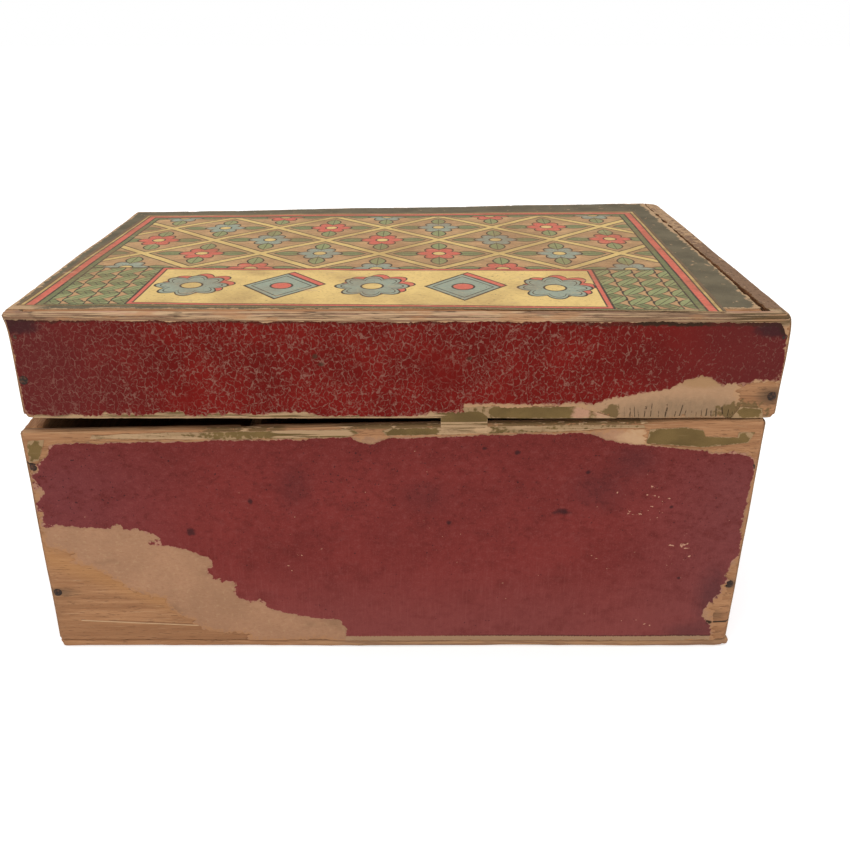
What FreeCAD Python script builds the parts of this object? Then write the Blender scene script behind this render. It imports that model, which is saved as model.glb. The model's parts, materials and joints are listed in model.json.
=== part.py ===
import FreeCAD, Part
import os

# An old wooden game box: two nailed trays of thin boards, one the lid of the other, covered in
# paper that has torn away at the back, with the last tab of the paper hinge still whole.
# Millimetres. The front faces -Y, the hinge is at the back, +Z is up, right is +X, and the
# origin is the centre of the face that the box stands on.

# Outer sizes
BOX_LENGTH = 280.0
BOX_DEPTH = 182.0
BASE_HEIGHT = 105.0
RIM_DROP = 5.6            # how far the rim falls towards its back right corner
LID_HEIGHT = 41.0
LID_SHIFT = 2.8           # how far the lid sits over to the left
SEAM_GAP = 0.5            # between the rim and the lid

# Boards
FACE_THICKNESS = 5.0      # front and back boards, which lap the ends
END_THICKNESS = 7.0
BOTTOM_THICKNESS = 3.0
TOP_THICKNESS = 3.0
TOP_SEAM_BACK = 2.2       # joint that has opened at the left end of the top board, wider at the back
TOP_SEAM_FRONT = 0.6
RABBET_WIDTH = 2.5        # ledge in the front and back boards that carries the top board
PARTITION_THICKNESS = 4.0
PARTITION_PLACE = 55.0    # from the middle towards the right
PARTITION_DROP = 12.0     # from the rim down to the partition
GROOVE_DEPTH = 1.5
GROOVE_CLEARANCE = 0.1
BOTTOM_CORNER = 3.0       # radius that the corners of the bottom board are worn to

# Nails
HEAD_DIAMETER = 3.4
HEAD_THICKNESS = 0.6
SHANK_WIDTH = 1.4         # square
NAIL_LENGTH = 18.0
POINT_LENGTH = 2.5
NAIL_SET = 0.1            # head below the face of the wood
NAIL_CLEARANCE = 0.1
NAIL_INSET = 3.0          # corner nails, from the ends of the face boards
BASE_RIGHT_NAIL = 27.5    # heights of the lower corner nails
BASE_LEFT_NAIL = 31.5
LID_RIGHT_NAIL = 15.5
LID_LEFT_NAIL = 9.0
BASE_NAIL_DROP = 20.0     # from the highest rim down to the upper corner nails
LID_NAIL_DROP = 9.0       # from the lid's top down to its upper corner nails
BOTTOM_NAIL_MARGIN = 30.0
BOTTOM_NAIL_COUNT = 4     # along each face board
BOTTOM_NAIL_SPACING = 90.0  # along each end board

# Paper
PAPER_THICKNESS = 0.25
PAPER_MARGIN = 1.0        # bare wood left along the edges of the whole sheets
TOP_WEAR = 4.0            # border paper rubbed off along the back edge of the lid
LABEL_RIGHT_MARGIN = 6.2  # from the lid's edges to the label before its turn
LABEL_LEFT_MARGIN = 19.8
LABEL_FRONT_MARGIN = 15.5
LABEL_BACK_MARGIN = 4.5
LABEL_TURN = -2.0         # degrees that the label is pasted askew
TAB_WIDTH = 17.5
TAB_PLACE = 27.0          # from the middle towards the left
TAB_LAP = 3.0             # of the tab on the base and on the lid

# Torn outlines on the two back faces, in percent of the wall: across from the right end, then up
BASE_PAPER_PERCENTS = [
    (3.8, 94.6), (5.3, 95.5), (28, 95.7), (44.5, 96), (45.5, 93.8), (47.6, 93.6), (49.4, 95.6), (64, 96.4),
    (75, 96.5), (77.8, 95), (78.7, 93.2), (86, 90.3), (92, 88), (97.8, 86.8), (99, 85), (99.5, 79), (99, 68),
    (99.5, 43), (98.4, 39.5), (98.2, 26.5), (96.6, 22), (95.6, 16), (97, 11), (97.6, 3.3), (43, 3.3),
    (43, 10), (42, 13), (36, 15.5), (32, 19.5), (30.5, 24), (27.7, 24.6), (26.8, 27), (27.5, 32.4),
    (24, 34.5), (23.4, 38), (24.1, 41), (23.6, 44), (20.4, 48.7), (15.5, 51), (17.3, 53.3), (15, 56),
    (11.4, 60), (10.4, 57.3), (5, 59), (0.8, 59.6), (1.4, 65.7), (0.3, 67.5), (1.1, 71), (2.1, 74.3),
    (1.4, 77.7), (0.6, 75.6), (0.3, 79), (0.5, 83), (1.6, 83.6), (1.5, 87), (2.9, 90),
]
BASE_LINING_PERCENTS = [
    (4, 96), (44, 96.5), (71, 97), (79.8, 97.6), (84, 97.2), (84, 91.6), (92, 89), (98.2, 87.6), (99.6, 84),
    (99.7, 42), (98.8, 38), (98.6, 24), (97, 19), (98, 9), (98, 3.2), (28.5, 3.2), (28.4, 6.3), (21.6, 9),
    (20.3, 13.7), (18, 17.6), (16.2, 24.3), (12, 28), (9.6, 34), (7, 39.5), (4, 41.4), (4.3, 46), (2, 49),
    (0.3, 52.4), (0.3, 84.5), (2.4, 87.5), (3.4, 90),
]
BASE_HINGE_PERCENTS = [
    [(1, 97), (3.2, 97), (2.3, 90.2), (1.9, 88.5), (0.6, 87.4), (0.7, 92)],
    [(84.2, 91.8), (84.5, 97.2), (89, 97.8), (91.6, 96.4), (92, 93.8), (96.3, 93.2), (96.4, 95.3),
     (98.6, 95.2), (97.8, 91), (92, 89.4)],
    [(9.5, 97.2), (9.8, 98.6), (20, 99.2), (33, 99), (44.6, 99.3), (45.6, 97.6), (44, 96.2), (28, 96)],
    [(49.2, 96.4), (48.6, 98.4), (50, 99.4), (62, 99.2), (72, 99.5), (83.6, 99), (83.8, 97.9), (79, 98),
     (72, 96.8), (60, 96.6)],
]
LID_PAPER_PERCENTS = [
    (0.4, 4), (13, 4.1), (14.7, 7), (17.2, 5), (21.3, 8.8), (22.3, 4.1), (32.5, 5), (37.3, 8), (39.5, 3.2),
    (49.4, 2.5), (53.8, 3.2), (58.6, 7), (58.7, 14.5), (74.4, 15), (81, 23), (86, 33), (89.2, 43),
    (90.9, 38.3), (91.9, 31), (93.7, 35), (96.7, 37), (99.6, 37), (99.6, 70), (99, 83), (98.4, 91.4),
    (62, 91), (37, 93), (9, 93), (0.4, 94.5),
]
LID_LINING_PERCENTS = [
    (0.4, 12), (73.3, 12), (79, 1.5), (93.7, 1.5), (94.8, 12.6), (94, 34), (99.7, 36), (99.7, 95), (0.3, 96),
]
LID_HINGE_PERCENTS = [
    [(1.5, 0.6), (78.8, 0.6), (73.3, 12), (1.5, 12)],
    [(94, 0.6), (98.3, 0.6), (97.9, 10.5), (95, 11.6)],
]

# Derived places
HALF_LENGTH = BOX_LENGTH / 2
HALF_DEPTH = BOX_DEPTH / 2
INNER_DEPTH = BOX_DEPTH - 2 * FACE_THICKNESS
LID_BOTTOM = BASE_HEIGHT + SEAM_GAP
LID_TOP = LID_BOTTOM + LID_HEIGHT
LID_LEFT = -HALF_LENGTH - LID_SHIFT
LID_RIGHT = HALF_LENGTH - LID_SHIFT

X_AXIS = FreeCAD.Vector(1, 0, 0)
Y_AXIS = FreeCAD.Vector(0, 1, 0)
Z_AXIS = FreeCAD.Vector(0, 0, 1)


def box(low, high):
    """A block between two opposite corners."""
    corner = FreeCAD.Vector(*low)
    size = FreeCAD.Vector(*high) - corner
    return Part.makeBox(size.x, size.y, size.z, corner)


def prism(points, along):
    """A flat outline pushed out along a vector."""
    corners = [FreeCAD.Vector(*point) for point in points]
    return Part.Face(Part.makePolygon(corners + corners[:1])).extrude(along)


def back_rim(x):
    """Height of the rim along the back board."""
    return BASE_HEIGHT - RIM_DROP * (x + HALF_LENGTH) / BOX_LENGTH


def right_rim(y):
    """Height of the rim along the right end board."""
    return BASE_HEIGHT - RIM_DROP * (y + HALF_DEPTH) / BOX_DEPTH


def nail(grow=0.0, mouth=0.0):
    """A nail that points along +Z from its head at the origin; its hole is grown and has a mouth."""
    under = HEAD_THICKNESS + grow
    half = SHANK_WIDTH / 2 + grow
    shoulder = NAIL_LENGTH - POINT_LENGTH
    head = Part.makeCylinder(HEAD_DIAMETER / 2 + grow, under + mouth, Z_AXIS * -mouth)
    shank = box((-half, -half, 0), (half, half, shoulder))
    corners = [FreeCAD.Vector(x * half, y * half, shoulder) for x, y in ((-1, -1), (1, -1), (1, 1), (-1, 1))]
    base = Part.makePolygon(corners + corners[:1])
    point = Part.makeLoft([base, Part.Vertex(0, 0, NAIL_LENGTH + grow)], True)
    return head.fuse([shank, point]).removeSplitter()


def driven(shape, spots, into):
    """Copies of a shape at several spots, all driven the same way."""
    copies = []
    for spot in spots:
        one = shape.copy()
        one.Placement = FreeCAD.Placement(FreeCAD.Vector(*spot), FreeCAD.Rotation(Z_AXIS, into))
        copies.append(one)
    return copies


def holes(spots, into):
    """What the nails at these spots take out of the boards."""
    return driven(nail(NAIL_CLEARANCE, NAIL_SET), spots, into)


def nails(spots, into):
    """A group of nails at these spots."""
    return Part.makeCompound(driven(nail(), spots, into))


def corner_spots(face, left, left_height, right, right_height, upper_height):
    """Nail places near both ends of a face board, a lower and an upper one at each."""
    columns = ((left + NAIL_INSET, left_height), (right - NAIL_INSET, right_height))
    return [(x, face, height) for x, lower_height in columns for height in (lower_height, upper_height)]


def base_corner_spots(face):
    """Corner nails of the base's front or back."""
    upper = BASE_HEIGHT - BASE_NAIL_DROP
    return corner_spots(face, -HALF_LENGTH, BASE_LEFT_NAIL, HALF_LENGTH, BASE_RIGHT_NAIL, upper)


def lid_corner_spots(face):
    """Corner nails of the lid's front or back."""
    left_height = LID_BOTTOM + LID_LEFT_NAIL
    right_height = LID_BOTTOM + LID_RIGHT_NAIL
    return corner_spots(face, LID_LEFT, left_height, LID_RIGHT, right_height, LID_TOP - LID_NAIL_DROP)


def bottom_spots():
    """Nail places round the edge of the bottom board."""
    run = BOX_LENGTH - 2 * BOTTOM_NAIL_MARGIN
    step = run / (BOTTOM_NAIL_COUNT - 1)
    face_line = HALF_DEPTH - FACE_THICKNESS / 2
    end_line = HALF_LENGTH - END_THICKNESS / 2
    spots = []
    for side in (-1, 1):
        spots += [(step * i - run / 2, side * face_line, NAIL_SET) for i in range(BOTTOM_NAIL_COUNT)]
        spots += [(side * end_line, place * BOTTOM_NAIL_SPACING / 2, NAIL_SET) for place in (-1, 1)]
    return spots


def base_spot(across, up):
    """A point of the base's back face from its percentages."""
    x = HALF_LENGTH - across / 100 * BOX_LENGTH
    return x, up / 100 * back_rim(x)


def lid_spot(across, up):
    """A point of the lid's back face from its percentages."""
    return LID_RIGHT - across / 100 * BOX_LENGTH, LID_BOTTOM + up / 100 * LID_HEIGHT


def torn_sheet(outline, spot, layer):
    """A sheet with a torn outline on a back face; layer 0 lies on the wood and layer 1 over that."""
    face = HALF_DEPTH + layer * PAPER_THICKNESS
    places = [spot(across, up) for across, up in outline]
    return prism([(x, face, z) for x, z in places], Y_AXIS * PAPER_THICKNESS)


def whole_sheet(corners, outward):
    """A sheet that still has its four straight edges."""
    return prism(corners, outward * PAPER_THICKNESS)


def base_boards():
    """The bottom, the four walls and the partition, with their nail holes and grooves."""
    floor = BOTTOM_THICKNESS
    inner_half = INNER_DEPTH / 2
    bottom = box((-HALF_LENGTH, -HALF_DEPTH, 0), (HALF_LENGTH, HALF_DEPTH, floor))
    upright = [edge for edge in bottom.Edges if abs(edge.tangentAt(edge.FirstParameter).z) > 0.5]
    bottom = bottom.makeFillet(BOTTOM_CORNER, upright)
    back = prism(
        [(-HALF_LENGTH, inner_half, floor), (HALF_LENGTH, inner_half, floor),
         (HALF_LENGTH, inner_half, back_rim(HALF_LENGTH)),
         (-HALF_LENGTH, inner_half, back_rim(-HALF_LENGTH))],
        Y_AXIS * FACE_THICKNESS)
    front = box((-HALF_LENGTH, -HALF_DEPTH, floor), (HALF_LENGTH, -inner_half, BASE_HEIGHT))
    left = box((-HALF_LENGTH, -inner_half, floor), (END_THICKNESS - HALF_LENGTH, inner_half, BASE_HEIGHT))
    inner_right = HALF_LENGTH - END_THICKNESS
    right = prism(
        [(inner_right, -inner_half, floor), (inner_right, inner_half, floor),
         (inner_right, inner_half, right_rim(inner_half)),
         (inner_right, -inner_half, right_rim(-inner_half))],
        X_AXIS * END_THICKNESS)
    groove_half = PARTITION_THICKNESS / 2 + GROOVE_CLEARANCE
    groove_reach = inner_half + GROOVE_DEPTH
    groove = box((PARTITION_PLACE - groove_half, -groove_reach, floor),
                 (PARTITION_PLACE + groove_half, groove_reach, BASE_HEIGHT))
    partition_half = PARTITION_THICKNESS / 2
    partition_reach = groove_reach - GROOVE_CLEARANCE
    partition = box((PARTITION_PLACE - partition_half, -partition_reach, floor),
                    (PARTITION_PLACE + partition_half, partition_reach, BASE_HEIGHT - PARTITION_DROP))
    bottom_holes = holes(bottom_spots(), Z_AXIS)
    back_holes = holes(BACK_SPOTS, -Y_AXIS)
    front_holes = holes(FRONT_SPOTS, Y_AXIS)
    corner_holes = back_holes + front_holes
    return {
        "bottom_board": bottom.cut(bottom_holes),
        "base_back_board": back.cut([groove] + bottom_holes + back_holes),
        "base_front_board": front.cut([groove] + bottom_holes + front_holes),
        "base_left_board": left.cut(bottom_holes + corner_holes),
        "base_right_board": right.cut(bottom_holes + corner_holes),
        "partition_board": partition,
    }


def lid_boards():
    """The lid's walls and the top board let in between them."""
    inner_half = INNER_DEPTH / 2
    ledge = LID_TOP - TOP_THICKNESS
    inner_left = LID_LEFT + END_THICKNESS
    inner_right = LID_RIGHT - END_THICKNESS
    rabbet_reach = inner_half + RABBET_WIDTH
    rabbet = box((inner_left, -rabbet_reach, ledge), (inner_right, rabbet_reach, LID_TOP))
    back = box((LID_LEFT, inner_half, LID_BOTTOM), (LID_RIGHT, HALF_DEPTH, LID_TOP))
    front = box((LID_LEFT, -HALF_DEPTH, LID_BOTTOM), (LID_RIGHT, -inner_half, LID_TOP))
    left = box((LID_LEFT, -inner_half, LID_BOTTOM), (inner_left, inner_half, LID_TOP))
    right = box((inner_right, -inner_half, LID_BOTTOM), (LID_RIGHT, inner_half, LID_TOP))
    top = prism(
        [(inner_left + TOP_SEAM_FRONT, -rabbet_reach, ledge), (inner_right, -rabbet_reach, ledge),
         (inner_right, rabbet_reach, ledge), (inner_left + TOP_SEAM_BACK, rabbet_reach, ledge)],
        Z_AXIS * TOP_THICKNESS)
    back_holes = holes(LID_BACK_SPOTS, -Y_AXIS)
    front_holes = holes(LID_FRONT_SPOTS, Y_AXIS)
    return {
        "lid_top_board": top,
        "lid_back_board": back.cut([rabbet] + back_holes),
        "lid_front_board": front.cut([rabbet] + front_holes),
        "lid_left_board": left.cut(back_holes + front_holes),
        "lid_right_board": right.cut(back_holes + front_holes),
    }


def end_corners(x, low, front_top, back_top):
    """Corners of a sheet on an end, inside its margins."""
    reach = HALF_DEPTH - PAPER_MARGIN
    return [(x, -reach, low + PAPER_MARGIN), (x, reach, low + PAPER_MARGIN),
            (x, reach, back_top - PAPER_MARGIN), (x, -reach, front_top - PAPER_MARGIN)]


def front_corners(left, right, low, high):
    """Corners of a sheet on the front, inside its margins."""
    return [(left + PAPER_MARGIN, -HALF_DEPTH, low + PAPER_MARGIN),
            (right - PAPER_MARGIN, -HALF_DEPTH, low + PAPER_MARGIN),
            (right - PAPER_MARGIN, -HALF_DEPTH, high - PAPER_MARGIN),
            (left + PAPER_MARGIN, -HALF_DEPTH, high - PAPER_MARGIN)]


def front_and_end_papers():
    """The sheets on the sides that are still whole."""
    floor = BOTTOM_THICKNESS
    rim = BASE_HEIGHT
    low_rim = BASE_HEIGHT - RIM_DROP
    return {
        "base_front_paper": whole_sheet(front_corners(-HALF_LENGTH, HALF_LENGTH, floor, rim), -Y_AXIS),
        "base_left_paper": whole_sheet(end_corners(-HALF_LENGTH, floor, rim, rim), -X_AXIS),
        "base_right_paper": whole_sheet(end_corners(HALF_LENGTH, floor, rim, low_rim), X_AXIS),
        "lid_front_paper": whole_sheet(front_corners(LID_LEFT, LID_RIGHT, LID_BOTTOM, LID_TOP), -Y_AXIS),
        "lid_left_paper": whole_sheet(end_corners(LID_LEFT, LID_BOTTOM, LID_TOP, LID_TOP), -X_AXIS),
        "lid_right_paper": whole_sheet(end_corners(LID_RIGHT, LID_BOTTOM, LID_TOP, LID_TOP), X_AXIS),
    }


def hinge_tab():
    """The piece of the hinge strip that still bridges the seam."""
    left = -TAB_PLACE - TAB_WIDTH / 2
    low = back_rim(-TAB_PLACE) - TAB_LAP
    high = LID_BOTTOM + TAB_LAP
    return box((left, HALF_DEPTH, low), (left + TAB_WIDTH, HALF_DEPTH + PAPER_THICKNESS, high))


def back_papers():
    """The torn layers on the two back faces: lining and hinge strip on the wood, paper over them."""
    tab = hinge_tab()
    base_strip = [torn_sheet(outline, base_spot, 0) for outline in BASE_HINGE_PERCENTS]
    lid_strip = [torn_sheet(outline, lid_spot, 0) for outline in LID_HINGE_PERCENTS]
    return {
        "hinge_tab": tab,
        "base_hinge_strip": Part.makeCompound(base_strip).cut(tab),
        "lid_hinge_strip": Part.makeCompound(lid_strip).cut(tab),
        "base_back_lining": torn_sheet(BASE_LINING_PERCENTS, base_spot, 0).cut([tab] + base_strip),
        "lid_back_lining": torn_sheet(LID_LINING_PERCENTS, lid_spot, 0).cut([tab] + lid_strip),
        "base_back_paper": torn_sheet(BASE_PAPER_PERCENTS, base_spot, 1),
        "lid_back_paper": torn_sheet(LID_PAPER_PERCENTS, lid_spot, 1),
    }


def top_papers():
    """The border paper, split where the joint has opened, and the label pasted on it askew."""
    front = PAPER_MARGIN - HALF_DEPTH
    back = HALF_DEPTH - TOP_WEAR
    above = LID_TOP + PAPER_THICKNESS
    seam = LID_LEFT + END_THICKNESS
    right = LID_RIGHT - PAPER_MARGIN
    main = whole_sheet(
        [(seam + TOP_SEAM_FRONT, front, LID_TOP), (right, front, LID_TOP),
         (right, back, LID_TOP), (seam + TOP_SEAM_BACK, back, LID_TOP)],
        Z_AXIS)
    strip = box((LID_LEFT + PAPER_MARGIN, front, LID_TOP), (seam, back, above))
    label = box((LID_LEFT + LABEL_LEFT_MARGIN, LABEL_FRONT_MARGIN - HALF_DEPTH, above),
                (LID_RIGHT - LABEL_RIGHT_MARGIN, HALF_DEPTH - LABEL_BACK_MARGIN, above + PAPER_THICKNESS))
    label.rotate(label.CenterOfMass, Z_AXIS, LABEL_TURN)
    return {"lid_border_paper": Part.makeCompound([main, strip]), "lid_label": label}


BACK_SPOTS = base_corner_spots(HALF_DEPTH - NAIL_SET)
FRONT_SPOTS = base_corner_spots(NAIL_SET - HALF_DEPTH)
LID_BACK_SPOTS = lid_corner_spots(HALF_DEPTH - NAIL_SET)
LID_FRONT_SPOTS = lid_corner_spots(NAIL_SET - HALF_DEPTH)

shapes = {}
shapes.update(base_boards())
shapes.update(lid_boards())
shapes.update(front_and_end_papers())
shapes.update(back_papers())
shapes.update(top_papers())
shapes["base_back_nails"] = nails(BACK_SPOTS, -Y_AXIS)
shapes["base_front_nails"] = nails(FRONT_SPOTS, Y_AXIS)
shapes["bottom_nails"] = nails(bottom_spots(), Z_AXIS)
shapes["lid_back_nails"] = nails(LID_BACK_SPOTS, -Y_AXIS)
shapes["lid_front_nails"] = nails(LID_FRONT_SPOTS, Y_AXIS)

os.makedirs("parts", exist_ok=True)
for name, shape in shapes.items():
    shape.exportStep("parts/" + name + ".step")
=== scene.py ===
import json
import math

import bmesh
import bpy
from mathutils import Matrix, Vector, kdtree, noise


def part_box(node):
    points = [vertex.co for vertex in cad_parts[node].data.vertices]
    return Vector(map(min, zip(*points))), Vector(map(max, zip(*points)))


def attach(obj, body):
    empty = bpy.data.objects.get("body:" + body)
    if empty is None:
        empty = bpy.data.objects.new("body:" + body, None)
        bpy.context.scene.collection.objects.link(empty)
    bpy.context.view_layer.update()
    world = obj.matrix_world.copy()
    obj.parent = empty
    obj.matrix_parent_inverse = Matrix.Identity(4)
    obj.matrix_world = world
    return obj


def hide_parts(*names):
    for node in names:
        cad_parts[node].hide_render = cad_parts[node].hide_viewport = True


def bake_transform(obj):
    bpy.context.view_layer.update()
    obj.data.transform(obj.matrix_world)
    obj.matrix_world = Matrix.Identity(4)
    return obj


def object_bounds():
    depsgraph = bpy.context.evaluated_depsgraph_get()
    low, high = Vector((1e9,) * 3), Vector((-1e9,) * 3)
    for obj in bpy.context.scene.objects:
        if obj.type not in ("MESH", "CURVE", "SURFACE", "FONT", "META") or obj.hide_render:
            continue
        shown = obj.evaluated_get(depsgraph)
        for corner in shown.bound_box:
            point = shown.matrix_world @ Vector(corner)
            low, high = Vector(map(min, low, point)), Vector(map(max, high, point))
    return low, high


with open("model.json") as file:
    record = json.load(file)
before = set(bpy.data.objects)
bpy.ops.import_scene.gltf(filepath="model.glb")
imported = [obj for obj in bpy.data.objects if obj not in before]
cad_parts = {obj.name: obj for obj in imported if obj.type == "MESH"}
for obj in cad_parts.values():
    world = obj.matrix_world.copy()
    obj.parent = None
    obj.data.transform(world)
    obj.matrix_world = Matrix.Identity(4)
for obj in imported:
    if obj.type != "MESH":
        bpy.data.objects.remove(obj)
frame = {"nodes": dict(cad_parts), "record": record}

CAD_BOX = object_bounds()

bl_info = {
    "name": "Worn Game Box",
    "version": (1, 0, 0),
    "blender": (4, 5, 0),
    "location": "View3D > Sidebar > Game Box",
    "description": "Dresses an old paper-covered game box: boards, nails, torn papers, label and stage",
    "category": "Object",
}

# Units, axes and the frame's own lists

MM = 0.001
TOUCH = 0.01 * MM
FACING = 0.9
NOISE_SEED = 5
X_AXIS = Vector((1, 0, 0))
Y_AXIS = Vector((0, 1, 0))
Z_AXIS = Vector((0, 0, 1))
EVEN = (1, 1, 1)

BODY_OF = {node: body for body, nodes in frame["record"]["behaviour"]["bodies"].items() for node in nodes}
SLOT_OF = {part["node"]: part["material_slot"] for part in frame["record"]["subparts"]}
BOARDS = sorted(node for node, slot in SLOT_OF.items() if slot == "wood")
CROSS_BOARDS = ("base_left_board", "base_right_board", "lid_left_board", "lid_right_board", "partition_board")
NAIL_SIDES = {
    "base_back_nails": Y_AXIS,
    "base_front_nails": -Y_AXIS,
    "lid_back_nails": Y_AXIS,
    "lid_front_nails": -Y_AXIS,
    "bottom_nails": -Z_AXIS,
}
WHOLE_SIDES = {
    "base_front_paper": -Y_AXIS,
    "base_left_paper": -X_AXIS,
    "base_right_paper": X_AXIS,
    "lid_front_paper": -Y_AXIS,
    "lid_left_paper": -X_AXIS,
    "lid_right_paper": X_AXIS,
}


def tray_box(body):
    """The lowest and highest corners of a body's boards."""
    boxes = [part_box(node) for node in BOARDS if BODY_OF[node] == body]
    low = Vector([min(box[0][axis] for box in boxes) for axis in range(3)])
    high = Vector([max(box[1][axis] for box in boxes) for axis in range(3)])
    return low, high


TRAYS = {body: tray_box(body) for body in ("base", "lid")}
SEAM = TRAYS["lid"][0].z / MM
LID_TOP = TRAYS["lid"][1].z / MM
BACK = TRAYS["base"][1].y / MM
HALF_LENGTH = TRAYS["base"][1].x / MM
LEFT_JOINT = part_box("lid_left_board")[1].x / MM
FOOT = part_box("bottom_board")[1].z / MM

# Small sizes of the shapes and their wear, in metres

EDGE_CUTS = (1.6 * MM, 3.2 * MM)
JOINT_TUCK = 0.6 * MM
HEAD_INSETS = (0.35 * MM, 0.45 * MM, 0.5 * MM)
HEAD_DOME = 0.14 * MM
CALM_DEPTH = 12 * MM
CURL = 0.25 * MM
STRIP_FRAY = 0.35 * MM
TAB_FRAY = 0.3 * MM
BORDER_FRAY = 1.1 * MM
LABEL_FRAY = 0.35 * MM

# Marks of age, as places across and up with half widths, in millimetres

NAIL_HOLE = ((-131.8, 12.4), (1.6, 0.9))
HOLE_SMEAR = ((-133.5, 16.0), (3.2, 2.2))
LINING_HOLE = ((-130.6, 12.6), (1.8, 1.0))
BLEACHED_PATCH = ((-92.0, 97.5), (6.5, 4.0))
SMOOTH_PATCH = ((-17.0, 125.0), (7.0, 9.0))
END_STAIN = ((-139.5, SEAM + 9.0), (5.0, 3.4))
END_OLIVE = ((-130.0, SEAM + 3.0), (8.0, 4.0))
WARM_PATCH = ((-113.0, SEAM + 15.5), (9.0, 3.2))
GREY_PATCH = ((-106.0, SEAM + 1.5), (26.0, 7.0))
FRAYED_PATCH = ((-34.0, SEAM - 4.6), (4.0, 1.2))
RUBBED_CORNER = ((136.0, 88.0), (12.0, 9.0))
NAIL_STAINS = (
    ((137.0, 27.5), (7.0, 1.8)),
    ((-137.0, 31.5), (5.0, 2.2)),
    ((137.0, 85.0), (4.0, 1.6)),
)
CHIP_CLUSTERS = (
    ((11.5, 67.0), (2.2, 14.0)),
    ((47.0, 52.5), (1.8, 2.2)),
    ((-79.0, 47.0), (5.0, 4.0)),
    ((-101.0, 70.0), (9.0, 10.0)),
    ((-116.0, 45.0), (7.0, 10.0)),
    ((-4.0, 12.0), (6.0, 11.0)),
    ((-106.0, 11.0), (6.0, 4.0)),
)
DARK_SPOTS = (
    ((-66.0, 65.8), (3.0, 1.2)),
    ((-22.3, 60.8), (0.9, 1.0)),
    ((-47.4, 91.7), (1.0, 0.8)),
    ((-74.8, 83.1), (0.7, 0.7)),
    ((-108.6, 68.0), (0.7, 0.6)),
    ((-34.8, 93.4), (0.8, 0.6)),
    ((55.1, 70.3), (0.9, 1.2)),
    ((79.5, 56.6), (1.5, 1.6)),
    ((-115.7, 34.8), (0.6, 0.6)),
    NAIL_HOLE,
)
LID_SPOTS = (
    ((27.7, 130.4), (1.0, 0.8)),
    ((25.4, 127.2), (1.0, 0.8)),
    ((-28.0, 129.5), (0.8, 0.7)),
)
CORNER_SMUDGES = (
    ((134.0, LID_TOP - 4.2), (8.5, 3.6)),
    ((-137.0, LID_TOP - 6.0), (7.5, 3.0)),
)
OLIVE_PATCHES = (
    ((-127.5, SEAM + 2.6), (7.5, 3.6)),
    ((-81.0, SEAM + 2.8), (2.8, 3.2)),
)
PINCHED_PATCHES = (
    ((-70.0, SEAM + 2.4), (3.2, 3.4)),
    ((-78.0, SEAM + 2.4), (3.0, 3.8)),
)

# Stains with their strengths
DARK_STAINS = (
    ((-92.0, 88.0), (8.0, 6.0), 0.3),
    ((-80.0, 75.0), (10.0, 8.0), 0.3),
    ((-131.0, 25.0), (6.0, 12.0), 0.5),
    ((-124.0, 8.0), (9.0, 4.0), 0.4),
    ((-12.7, 72.5), (9.0, 6.0), 0.2),
    ((38.0, 76.0), (6.0, 9.0), 0.2),
)

# Scratches and splits as two ends from left to right, half widths and how soft they are, in millimetres
SCRATCH = ((80.6, 10.7), (129.2, 13.3), 0.22, 0.15)
SCRATCH_SHADE = ((80.6, 11.4), (118.0, 13.4), 0.2, 0.2)
END_SPLITS = (
    ((-139.8, 12.9), (-131.0, 12.5), 0.3, 0.2),
    ((136.5, 86.2), (140.0, 86.7), 0.4, 0.2),
)

# Stretches along the box, as middles, half lengths and how soft they end, in millimetres
GLUED_STRETCHES = ((56.0, 16.0, 3.0), (0.0, 20.0, 4.0), (-66.0, 30.0, 5.0))
BARE_STRETCHES = ((96.0, 26.0, 4.0), (30.0, 15.0, 3.0))
THIN_STRETCH = (-66.0, 28.0, 3.0)
TAB_STRETCH = (-27.0, 10.0, 2.0)
SLIT_STRETCH = (-107.0, 20.0, 2.0)

# Sizes of the label's print, in millimetres, and its frame lines as depths, colours, shades and ink lines
TRELLIS_PITCH = (52.0, 50.0)
TRELLIS_START = 26.0
FOLIAGE_PITCH = (9.0, 12.0)
BAND_MIDDLE = 50.0
BAND_HALF = (88.0, 25.6)
BAND_PITCH = 35.0
BAND_FRAME = 2.2
SHADOW_THROW = (2.2, 2.6)
FRAME_LINES = (
    (9.4, "green", 0.75, 0.7),
    (6.6, "red", 1.0, 0.8),
    (2.9, "yellow", 0.9, 0.7),
    (1.2, "border", 1.0, 0.4),
)


def back_rim(side):
    """Height of the rim at the left or right end of the base's back board, in millimetres."""
    reach = HALF_LENGTH * MM - TOUCH
    ends = [vert.co.z for vert in frame["nodes"]["base_back_board"].data.vertices if vert.co.x * side > reach]
    return max(ends) / MM


RIM_LEFT = back_rim(-1)
RIM_RIGHT = back_rim(1)


# Settings that a user would change

def colour_value(name, description, red, green, blue):
    """A colour as it is seen, from 0 to 255."""
    return bpy.props.FloatVectorProperty(
        name=name, description=description, subtype="COLOR_GAMMA", size=3, min=0.0, max=1.0,
        default=(red / 255, green / 255, blue / 255))


def length_value(name, description, millimetres):
    """A length, given in millimetres."""
    return bpy.props.FloatProperty(
        name=name, description=description, subtype="DISTANCE", unit="LENGTH", precision=5,
        default=millimetres * MM)


def share_value(name, description, value):
    """A plain number."""
    return bpy.props.FloatProperty(name=name, description=description, default=value)


def place_value(name, description, place):
    """A place in the frame, in metres."""
    return bpy.props.FloatVectorProperty(
        name=name, description=description, subtype="XYZ", unit="LENGTH", size=3, default=place)


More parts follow.
